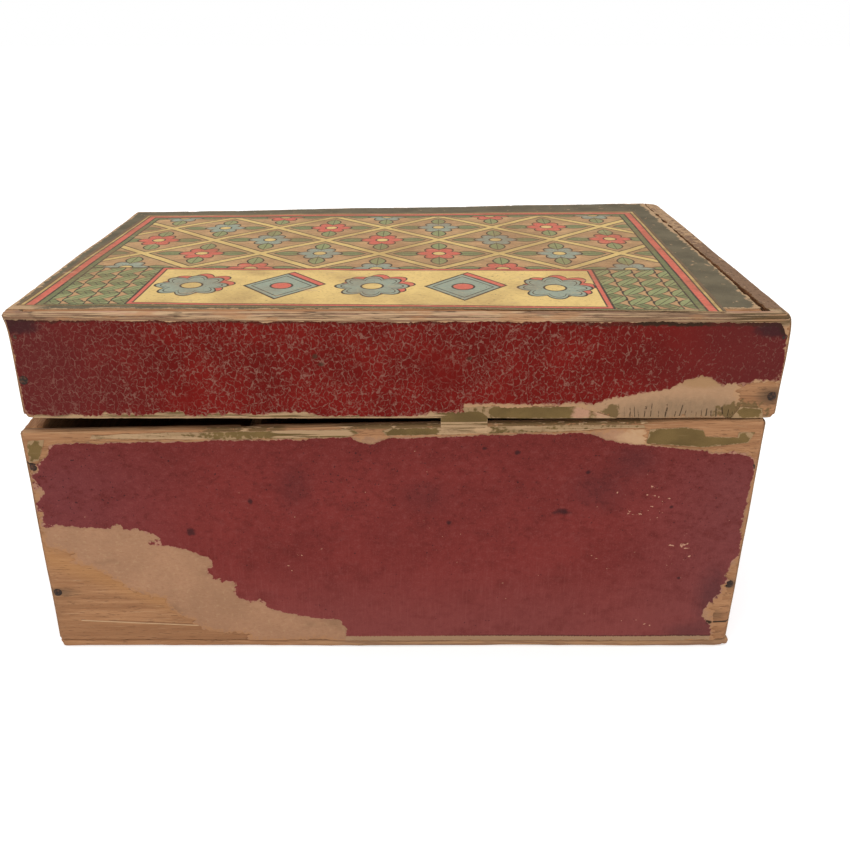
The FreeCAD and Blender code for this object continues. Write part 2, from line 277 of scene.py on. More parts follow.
class GameBoxColours(bpy.types.PropertyGroup):
    """Colours of the wood, the iron, the papers and the print."""

    pale: colour_value("Pale wood", "Light bands of the grain", 176, 128, 89)
    deep: colour_value("Deep wood", "Dark bands of the grain", 152, 106, 71)
    honey: colour_value("Honey wood", "Bright patch that the paper covered until lately", 178, 127, 78)
    pore: colour_value("Pores", "Fine dark strokes along the grain", 112, 76, 50)
    # Grime is also the colour of painted shade: above the foot joint, on the inner half of the rim's top and
    # under the lid's top arris
    grime_and_shade: colour_value("Grime", "Handling dirt on the wood and the papers", 90, 70, 52)
    rim: colour_value("Rim", "Rubbed wood on the rim of the base", 184, 143, 104)
    scuff: colour_value("Scuff", "Fresh scratches and rubbed arrises", 212, 176, 136)
    layer: colour_value("Layer", "Brown edges of papers that were folded over the lid's arris", 142, 108, 84)
    iron: colour_value("Iron", "Dark face of the nail heads", 47, 37, 32)
    rust: colour_value("Rust", "Rust on the nails", 96, 64, 48)
    faded_red: colour_value("Faded red", "Red paper of the base", 120, 47, 43)
    purple_red: colour_value("Purple red", "Faded red towards the right end", 113, 56, 57)
    dusty_red: colour_value("Dusty red", "Faded red towards the left end", 116, 60, 59)
    low_red: colour_value("Low red", "Faded red near the foot", 131, 68, 64)
    rim_red: colour_value("Rim red", "Faded red near the rim", 106, 40, 36)
    deep_red: colour_value("Deep red", "Red paper of the lid", 106, 21, 16)
    end_red: colour_value("End red", "Deep red towards the ends", 93, 37, 35)
    crackle: colour_value("Crackle", "Dusty cracks in the lid's paper", 148, 110, 95)
    # Smudge is also the colour of a painted shadow line along the foot of the base's red paper
    smudge_and_shade: colour_value("Smudge", "Dark rubbed corners and spots", 50, 32, 34)
    lining: colour_value("Lining", "Pale paper under the red", 170, 128, 98)
    lining_stain: colour_value("Lining stain", "Grey brown stain on the lid's lining", 128, 106, 82)
    olive: colour_value("Olive", "Remains of the hinge strip", 112, 90, 54)
    border: colour_value("Border", "Dark paper round the label", 106, 96, 76)
    core: colour_value("Torn core", "Inside of the paper where it is torn", 190, 155, 118)
    pink_core: colour_value("Pink core", "Inside of the paper that red dye has touched", 184, 138, 112)
    ground: colour_value("Ground", "Toned paper of the label", 192, 150, 106)
    yellow: colour_value("Yellow", "Bright grounds and ribbons", 222, 189, 120)
    red: colour_value("Red", "Frame lines, flowers and cast shadows", 206, 104, 86)
    blue: colour_value("Blue", "Large shapes and flowers", 148, 156, 138)
    green: colour_value("Green", "Leaves", 126, 130, 88)
    ink: colour_value("Ink", "Printed outlines", 62, 53, 45)
    stain: colour_value("Stain", "Brown tone of age", 132, 96, 66)


class GameBoxBoards(bpy.types.PropertyGroup):
    """Wear of the boards and nails."""

    arris: length_value("Arris", "How far the edges of the boards are rounded", 0.7)
    wear: length_value("Wear", "How deep the edges are worn here and there", 0.45)
    cell: length_value("Cell", "Spacing of the cuts that let a board warp", 6.0)
    head_rise: length_value("Head rise", "How far the nail heads stand out of the wood", 0.2)
    torn_rise: length_value(
        "Torn rise", "How much further the nail stands that has torn the lid's paper", 0.45)
    corner: length_value("Corner", "Radius that the corners of both trays are worn to", 2.4)
    far_corner: length_value("Far corner", "Radius of the most worn corner of the lid", 9.0)
    ledge: length_value("Ledge", "How far the bottom board has slid out at its left end", 1.5)
    wave: length_value("Wave", "How far the walls wander from flat", 0.35)
    lean: length_value("Lean", "How far the top of the lid has slid over its right end", 2.0)
    twist: length_value("Twist", "How far the front corners of the lid's top stand up and down", 2.5)


class GameBoxPapers(bpy.types.PropertyGroup):
    """Wear of the covering papers."""

    thickness: length_value("Thickness", "Of each sheet", 0.25)
    fray_step: length_value("Fray step", "Length of the runs that a torn edge breaks into", 0.45)
    fray_depth: length_value("Fray depth", "How far a cut edge has worn", 0.8)
    tear_depth: length_value("Tear depth", "How far a torn edge stands out and in", 2.2)
    fringe: length_value("Fringe", "How far fibres of the lining stay on the wood along its grain", 2.6)
    cell: length_value("Cell", "Spacing of the cuts that let a sheet ripple", 4.0)
    ripple: length_value("Ripple", "Height of the ripples in the sheets", 0.07)


class GameBoxLabel(bpy.types.PropertyGroup):
    """Size and place of the label's print."""

    length: length_value("Length", "Of the print along the box", 254.0)
    depth: length_value("Depth", "Of the print from front to back", 170.0)
    offset: length_value("Offset", "How far the print runs towards the hinge side", 4.0)
    turn: bpy.props.FloatProperty(
        name="Turn", description="How far the print lies askew", subtype="ANGLE", unit="ROTATION",
        default=math.radians(-2.0))


class GameBoxStage(bpy.types.PropertyGroup):
    """Camera, floor and light."""

    place: place_value("Camera", "Where the camera stands", (-0.0026, 0.3948, 0.2445))
    tilt: bpy.props.FloatProperty(
        name="Tilt", description="How far the camera looks down", subtype="ANGLE", unit="ROTATION",
        default=math.radians(25.0))
    lens: share_value("Lens", "Focal length in millimetres on a 36 mm sensor", 38.04)
    shift: share_value("Shift", "Sideways shift of the picture, as a share of its width", 0.0306)
    sky: share_value("Sky", "Strength of the even light all round", 0.86)
    key: share_value("Key lamp", "Power of the large lamp above, in watts", 3.4)
    key_place: place_value("Key place", "Where the key lamp hangs", (0.25, 0.35, 1.25))
    key_size: length_value("Key size", "Side of the key lamp", 1100)
    fill: share_value("Fill lamp", "Power of the lamp on the hinge side, in watts", 2.6)
    fill_place: place_value("Fill place", "Where the fill lamp stands", (-0.3, 1.3, 0.55))
    fill_size: length_value("Fill size", "Side of the fill lamp", 900)
    floor: share_value("Floor", "How pale the floor is", 0.86)
    glow: share_value("Floor glow", "Light added to the floor as the camera sees it", 0.42)


SETTINGS = {
    "game_box_colours": GameBoxColours,
    "game_box_boards": GameBoxBoards,
    "game_box_papers": GameBoxPapers,
    "game_box_label": GameBoxLabel,
    "game_box_stage": GameBoxStage,
}


# Shader expressions

def paint(name, shade=1.0):
    """A colour of the settings as light, made darker or lighter by a factor."""
    seen = getattr(bpy.context.scene.game_box_colours, name)
    parts = [part / 12.92 if part <= 0.04045 else ((part + 0.055) / 1.055) ** 2.4 for part in seen]
    return (*(part * shade for part in parts), 1.0)


class Signal:
    """A number that varies over a surface; arithmetic on it adds Math nodes."""

    def __init__(self, wiring, socket):
        self.wiring = wiring
        self.socket = socket

    def __add__(self, other):
        return self.wiring.math("ADD", self, other)

    def __sub__(self, other):
        return self.wiring.math("SUBTRACT", self, other)

    def __rsub__(self, other):
        return self.wiring.math("SUBTRACT", other, self)

    def __mul__(self, other):
        return self.wiring.math("MULTIPLY", self, other)

    def __truediv__(self, other):
        return self.wiring.math("DIVIDE", self, other)

    def __neg__(self):
        return self.wiring.math("MULTIPLY", self, -1.0)

    def __abs__(self):
        return self.wiring.math("ABSOLUTE", self)

    __radd__ = __add__
    __rmul__ = __mul__


class Wiring:
    """A node tree, and the ways in which this file adds nodes to it."""

    def __init__(self, tree):
        self.tree = tree

    def node(self, kind, settings=None, sockets=None):
        """A node of a type, with its settings first and then the values or links of its sockets."""
        made = self.tree.nodes.new(kind)
        for key, value in (settings or {}).items():
            setattr(made, key, value)
        for key, value in (sockets or {}).items():
            self.feed(made.inputs[key], value)
        return made

    def feed(self, socket, value):
        """Sets a socket to a plain value or links it to a signal."""
        if isinstance(value, Signal):
            value = value.socket
        if isinstance(value, bpy.types.NodeSocket):
            self.tree.links.new(value, socket)
        else:
            socket.default_value = value

    def math(self, operation, *terms):
        """One Math node."""
        made = self.node("ShaderNodeMath", {"operation": operation}, dict(enumerate(terms)))
        return Signal(self, made.outputs[0])

    def most(self, *terms):
        """The largest of some numbers."""
        top = terms[0]
        for term in terms[1:]:
            top = self.math("MAXIMUM", top, term)
        return top

    def least(self, *terms):
        """The smallest of some numbers."""
        return -self.most(*[-term for term in terms])

    def seen_directly(self):
        """1 for what the camera sees straight or by reflection, 0 for light on its way to the object."""
        path = self.node("ShaderNodeLightPath").outputs
        names = ("Is Camera Ray", "Is Glossy Ray", "Is Transmission Ray")
        return self.most(*[Signal(self, path[name]) for name in names])


class Finish(Wiring):
    """A material being mixed: the place on the object in millimetres, and the colour so far."""

    def __init__(self, name):
        self.material = bpy.data.materials.new(name)
        self.material.use_nodes = True
        super().__init__(self.material.node_tree)
        self.shader = self.tree.nodes["Principled BSDF"]
        self.place = self.node("ShaderNodeTexCoord").outputs["Object"]
        self.x, self.y, self.z = self.axes(self.place)
        self.colour = None

    def axes(self, place):
        """The three parts of a place, in millimetres."""
        parts = self.node("ShaderNodeSeparateXYZ", sockets={0: place})
        return [Signal(self, socket) / MM for socket in parts.outputs]

    def mix(self, share, first, second):
        """One colour over another by a share."""
        sockets = {0: share, 6: first, 7: second}
        return self.node("ShaderNodeMix", {"data_type": "RGBA"}, sockets).outputs[2]

    def shades(self, share, name, first, second):
        """A named colour that goes from a first to a second shade by a share."""
        return self.mix(share, paint(name, first), paint(name, second))

    def coat(self, share, colour, shade=1.0):
        """Lays a colour, mixed or named in the settings, over the colour so far by a share."""
        if isinstance(colour, str):
            colour = paint(colour, shade)
        self.colour = self.mix(share, self.colour, colour)

    def scaled(self, size, stretch, seed):
        """The place counted in blobs of a size in millimetres, drawn out along an axis."""
        scale = [1 / (MM * size * draw) for draw in stretch]
        offset = (seed * 7.31, seed * 3.17, seed * 5.73)
        sockets = {"Vector": self.place, "Location": offset, "Scale": scale}
        return self.node("ShaderNodeMapping", sockets=sockets).outputs[0]

    def clouds(self, size, stretch=EVEN, seed=0, detail=2.0, roughness=0.5):
        """Soft blobs with values about one half."""
        place = self.scaled(size, stretch, seed)
        sockets = {"Vector": place, "Scale": 1.0, "Detail": detail, "Roughness": roughness}
        return Signal(self, self.node("ShaderNodeTexNoise", sockets=sockets).outputs[0])

    def walls(self, size, stretch, seed, wander):
        """Distances from the walls of a pattern of cells, in shares of a cell; the walls wander."""
        place = self.scaled(size, stretch, seed)
        drift = self.node("ShaderNodeTexNoise", sockets={"Vector": place, "Scale": 1.7, "Detail": 3.0})
        sockets = {0: drift.outputs[1], 1: (wander,) * 3, 2: place}
        moved = self.node("ShaderNodeVectorMath", {"operation": "MULTIPLY_ADD"}, sockets).outputs[0]
        settings = {"feature": "DISTANCE_TO_EDGE"}
        made = self.node("ShaderNodeTexVoronoi", settings, {"Vector": moved, "Scale": 1.0})
        return Signal(self, made.outputs["Distance"])

    def chance(self, index):
        """A steady random number for each whole number."""
        made = self.node("ShaderNodeTexWhiteNoise", {"noise_dimensions": "1D"}, {"W": index})
        return Signal(self, made.outputs["Value"])

    def rise(self, value, low, high):
        """0 before low, 1 after high, and smooth between them."""
        sockets = {"Value": value, "From Min": low, "From Max": high}
        made = self.node("ShaderNodeMapRange", {"interpolation_type": "SMOOTHSTEP"}, sockets)
        return Signal(self, made.outputs[0])

    def near(self, value, centre, half, soft):
        """1 within half of a centre, and smooth at the border."""
        return self.rise(abs(value - centre), half + soft, half - soft)

    def stretches(self, along, places):
        """1 on some stretches of a length."""
        return self.most(*[self.near(along, *place) for place in places])

    def radius(self, across, up):
        """Distance from the origin of two lengths."""
        return self.math("SQRT", across * across + up * up)

    def spot(self, across, up, centre, half, soft=0.3, ragged=0.0):
        """1 inside an oval, and smooth or ragged at its border."""
        reach = self.radius((across - centre[0]) / half[0], (up - centre[1]) / half[1])
        if ragged:
            reach = reach + (self.clouds(2.0, seed=91, detail=3.0) - 0.5) * ragged
        return self.rise(reach, 1 + soft, 1 - soft)

    def spots(self, across, up, marks, soft, ragged=0.0):
        """1 inside any of some ovals."""
        return self.most(*[self.spot(across, up, *mark, soft, ragged) for mark in marks])

    def stroke(self, across, up, start, end, half, soft):
        """1 along a straight scratch between two points, given from left to right."""
        slope = (end[1] - start[1]) / (end[0] - start[0])
        line = (across - start[0]) * slope + start[1]
        fade = 0.5
        begun = self.rise(across, start[0] - fade, start[0] + fade)
        ended = self.rise(across, end[0] + fade, end[0] - fade)
        return self.near(up - line, 0.0, half, soft) * (begun * ended)

    def inked(self, colour, inside, fill, line):
        """A colour with a filled shape on it, outlined in ink; inside is positive within, in millimetres."""
        soft = 0.15
        filled = self.mix(self.rise(inside, -soft, soft), colour, fill)
        return self.mix(self.near(inside, 0.0, line / 2, soft), filled, paint("ink"))

    def printed(self, inside, fill, line):
        """Prints a filled shape with an inked outline over the colour so far."""
        self.colour = self.inked(self.colour, inside, fill, line)

    def inland(self):
        """Distance from the outline of a sheet, in millimetres."""
        made = self.node("ShaderNodeAttribute", {"attribute_name": "inland"})
        return Signal(self, made.outputs["Fac"])

    def done(self, roughness, height, depth, shine):
        """Feeds the shader with the colour so far, and gives back the material."""
        relief = {"Strength": 1.0, "Distance": depth * MM, "Height": height}
        bump = self.node("ShaderNodeBump", sockets=relief)
        self.feed(self.shader.inputs["Base Color"], self.colour)
        self.feed(self.shader.inputs["Roughness"], roughness)
        self.feed(self.shader.inputs["Normal"], bump.outputs[0])
        self.feed(self.shader.inputs["Specular IOR Level"], shine)
        return self.material


# Finishes of the wood

def wood_finish(name, along, seed):
    """Bare softwood darkened with age, with its grain along one axis."""
    finish = Finish(name)

    def drawn(length):
        return (length, 1, 1) if along == "X" else (1, length, 1)

    bands = finish.clouds(2.6, drawn(20), seed=seed, detail=3.0)
    fibres = finish.clouds(0.4, drawn(22), seed=seed + 1, detail=4.0, roughness=0.65)
    pores = finish.clouds(0.55, drawn(8), seed=seed + 2, detail=2.0, roughness=0.6)
    stain = finish.clouds(42, seed=seed + 3, detail=4.0)
    speck = finish.clouds(1.4, seed=seed + 4, detail=3.0)
    finish.colour = finish.mix(finish.rise(bands, 0.3, 0.7), paint("deep"), paint("pale"))
    finish.coat(finish.rise(fibres, 0.46, 0.66) * 0.5, "deep", 0.78)
    finish.coat(finish.rise(fibres, 0.44, 0.28) * 0.4, "scuff", 0.85)
    finish.coat(finish.rise(pores, 0.62, 0.7) * 0.65, "pore")
    finish.coat(finish.rise(stain, 0.52, 0.8) * 0.3, "grime_and_shade")
    finish.coat(finish.rise(speck, 0.7, 0.77) * 0.45, "grime_and_shade")
    roughness = 0.66 + fibres * 0.28
    return finish, roughness, fibres * 0.6 - finish.rise(pores, 0.6, 0.7) * 0.5


def plain_wood(name, along, seed):
    """The finish of most boards, rubbed pale at the foot of the box."""
    finish, roughness, height = wood_finish(name, along, seed)
    foot = finish.rise(finish.z, FOOT + 0.3, FOOT - 0.1) * finish.rise(finish.x, 70, 10)
    layers = finish.clouds(0.7, (30, 30, 1), seed=seed + 5, detail=3.0)
    worn = finish.mix(finish.rise(layers, 0.4, 0.62), paint("rim", 0.95), paint("layer", 0.9))
    finish.coat(foot * 0.7, worn)
    return finish.done(roughness, height, 0.25, shine=0.25)


def base_back_wood(name):
    """The base's back board: honey patch, scratch, nail stains, and a rim with remains of olive paper."""
    finish, roughness, height = wood_finish(name, "X", 11)
    x, y, z = finish.x, finish.y, finish.z
    low_left = z - x * 0.45
    honey = finish.near(low_left, -18.0, 4.5, 4.5) * finish.rise(x, 70, 92)
    finish.coat(honey * 0.55, "honey")
    dull = finish.rise(z, 17, 6) * finish.rise(x, 20, 60)
    finish.coat(dull * 0.5, "deep", 0.9)
    for mark in NAIL_STAINS:
        finish.coat(finish.spot(x, z, *mark, soft=0.6) * 0.6, "grime_and_shade")
    scratch = finish.stroke(x, z, *SCRATCH)
    finish.coat(finish.stroke(x, z, *SCRATCH_SHADE) * 0.55, "pore")
    finish.coat(scratch * 0.85, "scuff")
    splits = [finish.stroke(x, z, *mark) for mark in END_SPLITS]
    split = finish.most(*splits, finish.spot(x, z, *NAIL_HOLE, soft=0.3, ragged=0.8))
    smear = finish.spot(x, z, *HOLE_SMEAR, soft=0.7, ragged=0.9)
    finish.coat(smear * 0.4, "grime_and_shade", 0.8)
    finish.coat(split, "grime_and_shade", 0.25)
    # Painted shade: the lowest millimetre of the back board darkened, fading out towards the right end, as
    # the shadow of its joint with the bottom board
    joint = finish.rise(z, 4.0, 3.2) * finish.rise(x, 60, 10)
    finish.coat(joint * 0.7, "grime_and_shade", 0.6)

    above = z - (RIM_LEFT + (x + HALF_LENGTH) * ((RIM_RIGHT - RIM_LEFT) / (2 * HALF_LENGTH)))
    top = finish.rise(above, -1.3, -0.6)
    on_top = top * finish.rise(y, BACK - 0.15, BACK - 0.6)
    streaks = finish.clouds(0.7, (26, 1, 1), seed=17, detail=4.0)
    rim = finish.mix(finish.rise(streaks, 0.35, 0.66), paint("rim"), paint("deep", 0.95))
    finish.coat(on_top * 0.85, rim)
    grains = finish.clouds(1.3, (2, 1, 1), seed=18, detail=4.0)
    kept = finish.stretches(x, GLUED_STRETCHES)
    outer = finish.rise(y, BACK - 3.6, BACK - 2.0)
    glue = finish.rise(grains + kept * 0.2, 0.55, 0.64) * outer * top * kept
    finish.coat(glue * 0.8, "olive", 0.75)
    flakes = finish.rise(finish.clouds(1.7, (3, 1, 1), seed=19, detail=2.0), 0.6, 0.64) * kept * outer * top
    finish.coat(flakes * 0.9, "core", 1.1)
    # Painted shade: the inner half of the rim's top darkened, as the shadow in the gap under the lid
    darkened = finish.rise(y, BACK - 2.6, BACK - 4.4) * top
    finish.coat(darkened * 0.5, "grime_and_shade", 0.6)
    height = height + flakes * 0.8 + glue * 0.3 - split * 2.0 - scratch * 0.8
    return finish.done(roughness, height, 0.25, shine=0.25)


def layered(finish, seed):
    """Streaked edges of papers that were folded over an arris, as a colour and a height."""
    layers = finish.clouds(0.55, (60, 60, 1), seed=seed, detail=3.0, roughness=0.6)
    torn = finish.clouds(3.4, (4, 4, 1), seed=seed + 1, detail=4.0)
    colour = finish.mix(finish.rise(layers, 0.4, 0.58), paint("layer"), paint("scuff", 0.84))
    colour = finish.mix(finish.rise(layers, 0.6, 0.66) * 0.8, colour, paint("pink_core"))
    colour = finish.mix(finish.rise(torn, 0.54, 0.64) * 0.6, colour, paint("pale", 1.08))
    colour = finish.mix(finish.rise(torn, 0.4, 0.32) * 0.6, colour, paint("grime_and_shade", 0.9))
    colour = finish.mix(finish.near(layers, 0.47, 0.014, 0.014) * 0.85, colour, paint("grime_and_shade", 0.45))
    dim = finish.rise(finish.x, -40, -125)
    colour = finish.mix(dim * 0.3, colour, paint("grime_and_shade", 0.9))
    olive_end = finish.rise(finish.x + (torn - 0.5) * 30, -116, -124) * finish.rise(layers, 0.6, 0.45)
    return finish.mix(olive_end * 0.75, colour, paint("olive", 0.5)), layers


def lid_back_wood(name):
    """The lid's back board: layered paper edges along its top arris and a stained end."""
    finish, roughness, height = wood_finish(name, "X", 23)
    x, z = finish.x, finish.z
    upper = finish.rise(z, LID_TOP - 4.6, LID_TOP - 3.8)
    stack, layers = layered(finish, 27)
    finish.coat(upper, stack)
    foot = finish.rise(z, SEAM + 1.6, SEAM + 0.5)
    finish.coat(foot * 0.7, "core", 0.85)
    ruts = finish.clouds(0.8, (18, 1, 1), seed=29, detail=3.0)
    end = finish.rise(x, -122, -126) * (1 - upper)
    finish.coat(finish.rise(ruts, 0.52, 0.62) * end * 0.5, "pore")
    stained = finish.spot(x, z, *END_STAIN, soft=0.6)
    finish.coat(stained * 0.7, "grime_and_shade", 0.8)
    patch = finish.spot(x, z, *END_OLIVE, soft=0.2, ragged=2.4)
    finish.coat(patch * 0.85, "olive", 0.85)
    height = height + layers * upper * 1.2 + ruts * end
    return finish.done(roughness, height, 0.3, shine=0.25)


# Finishes of the papers

def hinge_side(finish):
    """1 on the hinge side of the box, 0 on its other sides."""
    return finish.rise(finish.y, BACK - 3.0, BACK - 1.5)


def chipped(finish, chip, rarity, clusters=0.0):
    """Lays small pale chips over the colour so far, more of them in some clusters."""
    chips = finish.clouds(1.6, (1.4, 1.4, 1), seed=11, detail=2.0)
    patches = finish.clouds(36, seed=12)
    share = finish.rise(chips + (patches - 0.5) * 0.3 + clusters, rarity, rarity + 0.02)
    finish.coat(share * 0.9, chip)


def faded_red_finish():
    """Matt brick red paper of the base, dented and flecked, with chips, spots and stains on its back."""
    finish = Finish("faded_red_paper")
    x, z = finish.x, finish.z
    on_back = hinge_side(finish)
    tone = finish.clouds(26, seed=1, detail=4.0)
    blotch = finish.clouds(7, (1.4, 1.4, 1), seed=6, detail=4.0)
    dents = finish.clouds(2.0, (1.3, 1.3, 1), seed=2, detail=4.0, roughness=0.6)
    threads = finish.clouds(0.6, (1, 1, 16), seed=9, detail=3.0)
    tooth = finish.clouds(0.5, seed=3, detail=3.0)
    finish.colour = finish.shades(finish.rise(tone, 0.3, 0.7), "faded_red", 0.9, 1.08)
    finish.coat(finish.rise(x, 62, 138) * 0.8, "purple_red")
    finish.coat(finish.rise(x, -80, -138) * 0.8, "dusty_red")
    finish.coat(finish.rise(z, 48, 4) * 0.75, "low_red")
    finish.coat(finish.rise(z, 76, 101) * 0.7, "rim_red")
    finish.coat(finish.rise(blotch, 0.5, 0.72) * 0.4, "rim_red", 0.8)
    upper = finish.rise(z, 14, 84)
    finish.coat(finish.rise(dents, 0.5, 0.7) * (0.2 + upper * 0.4), "rim_red", 0.72)
    finish.coat(finish.rise(dents, 0.46, 0.3) * 0.28, "low_red", 1.1)
    finish.coat(finish.rise(threads, 0.5, 0.7) * (1 - upper) * 0.3, "low_red", 1.15)
    finish.coat(finish.rise(tooth, 0.5, 0.72) * 0.35, "low_red", 1.2)
    for *mark, strength in DARK_STAINS:
        stain = finish.spot(x, z, *mark, soft=0.8, ragged=0.7) * on_back
        finish.coat(stain * strength, "smudge_and_shade", 1.5)
    pits = finish.clouds(1.15, seed=8, detail=2.0)
    flecks = finish.rise(pits + blotch * 0.1 + upper * 0.05, 0.765, 0.8)
    finish.coat(flecks * 0.7, "smudge_and_shade", 0.9)
    spots = finish.spots(x, z, DARK_SPOTS, soft=0.6, ragged=1.8)
    finish.coat(spots * on_back * 0.75, "smudge_and_shade", 0.8)
    clusters = finish.spots(x, z, CHIP_CLUSTERS, soft=0.7)
    chipped(finish, paint("pink_core", 1.1), 0.8, clusters * on_back * 0.11)
    rubbed = finish.rise(finish.inland() + finish.clouds(1.6, seed=5, detail=3.0) * 1.8, 1.15, 0.85)
    finish.coat(rubbed * 0.75, "pink_core")
    level = z - FOOT + (tooth - 0.5) * 1.2
    scrape_top = 2.9
    scraped = finish.rise(level, scrape_top, 2.5) * finish.rise(x, 60, 20) * on_back
    finish.coat(scraped * 0.85, "core", 0.75)
    # Painted shadow: a dark line across the paper just above the foot, as the shadow of the gap above the
    # bottom board
    line = finish.near(level, scrape_top, 0.25, 0.2) * finish.rise(x, -10, -50) * on_back
    finish.coat(line * 0.6, "smudge_and_shade", 0.8)
    roughness = 0.72 + tooth * 0.22
    height = dents * (0.3 + upper * 0.6) + tooth * 0.25
    return finish.done(roughness, height, 0.8, shine=0.1)


def crackled_red_finish():
    """Deep red glazed paper of the lid, with a net of dusty cracks."""
    finish = Finish("crackled_red_paper")
    x, z = finish.x, finish.z
    tone = finish.clouds(15, seed=1, detail=4.0)
    tooth = finish.clouds(0.6, seed=3, detail=3.0)
    finish.colour = finish.shades(finish.rise(tone, 0.3, 0.7), "deep_red", 0.84, 1.16)
    ends = finish.most(finish.rise(x, 70, 135), finish.rise(x, -70, -138))
    finish.coat(ends * 0.85, "end_red")
    tall = (1, 1, 1.3)
    wide = finish.walls(2.5, tall, seed=4, wander=0.9)
    fine = finish.walls(1.5, tall, seed=5, wander=0.9)
    breaks = finish.clouds(1.7, seed=6, detail=3.0)
    strength = finish.clouds(17, seed=7, detail=3.0)
    sparse = finish.rise(x, -45, -110)
    smooth = finish.spot(x, z, *SMOOTH_PATCH, soft=0.6, ragged=0.8)
    spread = finish.rise(strength, 0.2, 0.48) * (1 - ends * 0.45) * (1 - smooth * 0.6)
    net = finish.rise(wide, 0.09, 0.02) * finish.rise(breaks - sparse * 0.07, 0.42, 0.56)
    threads = finish.rise(fine, 0.1, 0.03) * finish.rise(breaks + sparse * 0.07, 0.52, 0.4) * 0.6
    cracks = finish.most(net, threads) * spread
    dust = finish.rise(tooth, 0.55, 0.8) * finish.rise(strength, 0.3, 0.6) * 0.14
    finish.coat(finish.most(cracks * 0.58, dust), "crackle")
    chipped(finish, paint("core"), 0.83)
    on_back = hinge_side(finish)
    spots = finish.spots(x, z, LID_SPOTS, soft=0.6, ragged=1.8)
    finish.coat(spots * on_back * 0.75, "grime_and_shade", 0.5)
    corners = finish.spots(x, z, CORNER_SMUDGES, soft=0.35, ragged=0.8)
    finish.coat(corners * finish.rise(finish.y, BACK - 12, BACK - 4) * 0.72, "smudge_and_shade")
    high = finish.rise(z, LID_TOP - 9, LID_TOP - 7)
    edge = finish.inland() + finish.clouds(1.8, seed=8, detail=3.0) * 1.8
    rubbed = finish.rise(edge, 1.15, 0.85) * (1 - high)
    finish.coat(rubbed * 0.6, "pink_core", 0.9)
    # Painted shadow: a dark line along the top of the paper, under the overhanging top arris, stronger
    # towards the left end
    shaded = finish.rise(edge - finish.rise(x, -40, -90) * 0.6, 2.0, 1.2) * high
    shaded = shaded * (finish.rise(tone, 0.35, 0.55) * 0.6 + finish.rise(x, -40, -90) * 0.35)
    finish.coat(shaded, "grime_and_shade", 0.3)
    roughness = 0.5 + cracks * 0.3 + tooth * 0.15
    return finish.done(roughness, tooth * 0.25 - cracks * 0.75, 0.16, shine=0.05)


def lining_finish():
    """Pale fibrous paper left on the wood, with upright splits near the lid's foot."""
    finish = Finish("lining_paper")
    x, z = finish.x, finish.z
    tone = finish.clouds(20, seed=1, detail=4.0)
    fibre = finish.clouds(0.5, (4, 4, 1), seed=2, detail=4.0)
    pulp = finish.clouds(1.6, seed=4, detail=4.0, roughness=0.65)
    finish.colour = finish.shades(finish.rise(tone, 0.3, 0.72), "lining", 1.05, 0.86)
    finish.coat(finish.rise(fibre, 0.5, 0.75) * 0.4, "deep", 0.9)
    finish.coat(finish.rise(pulp, 0.5, 0.7) * 0.35, "lining", 0.75)
    finish.coat(finish.rise(pulp, 0.46, 0.3) * 0.35, "core", 0.95)
    stain = finish.clouds(9, (2, 2, 1), seed=3, detail=3.0)
    finish.coat(finish.rise(stain, 0.56, 0.78) * 0.3, "grime_and_shade")
    thin = finish.rise(finish.inland() + (pulp - 0.5) * 9 + (fibre - 0.5) * 3, 1.6, 0.2)
    finish.coat(thin * 0.75, "pale", 0.95)
    on_lid = finish.rise(z, SEAM - 0.5, SEAM)
    warm = finish.spot(x, z, *WARM_PATCH, soft=0.4, ragged=0.5)
    finish.coat(warm * on_lid * 0.85, "honey", 0.62)
    finish.coat(on_lid * 0.4, "core", 0.98)
    runs = finish.clouds(0.7, (1, 1, 3), seed=7, detail=3.0)
    grey = finish.spot(x, z, *GREY_PATCH, soft=0.5, ragged=0.6) * on_lid
    finish.coat(grey * (0.35 + runs * 0.6), "lining_stain")
    patches = finish.spots(x, z, OLIVE_PATCHES, soft=0.2, ragged=2.4) * on_lid
    finish.coat(patches * 0.85, "olive", 0.85)
    bleached = finish.spot(x, z, *BLEACHED_PATCH, soft=0.4, ragged=1.4) * (1 - on_lid)
    finish.coat(bleached * (0.25 + pulp * 0.7), "core", 1.1)
    hole = finish.spot(x, z, *LINING_HOLE, soft=0.3, ragged=0.9)
    finish.coat(hole * 0.95, "grime_and_shade", 0.25)
    wobble = finish.clouds(4.0, (1, 1, 3), seed=5, detail=2.0)
    slit_pitch = 1.9
    rank = x / slit_pitch + wobble * 1.6
    index = finish.math("FLOOR", rank)
    chance = finish.chance(index)
    reach = SEAM + 2.6 + chance * 4.2
    width = 0.025 + chance * 0.05
    slit = finish.rise(abs(rank - index - 0.5), width + 0.05, width)
    zone = finish.near(x, *SLIT_STRETCH) * on_lid * finish.rise(chance, 0.08, 0.14)
    gaps = finish.rise(finish.clouds(1.6, seed=6, detail=2.0), 0.36, 0.5)
    upright = slit * finish.rise(z, reach, reach - 1.2) * finish.rise(z, SEAM + 0.4, SEAM + 1.2)
    splits = upright * zone * gaps
    finish.coat(splits * 0.8, "grime_and_shade", 0.35)
    edge = finish.rise(z, LID_TOP - 5.2, LID_TOP - 4.6)
    stack, layers = layered(finish, 27)
    finish.coat(edge, stack)
    return finish.done(0.9, fibre - splits * 4.0 + layers * edge * 2.0, 0.12, shine=0.12)


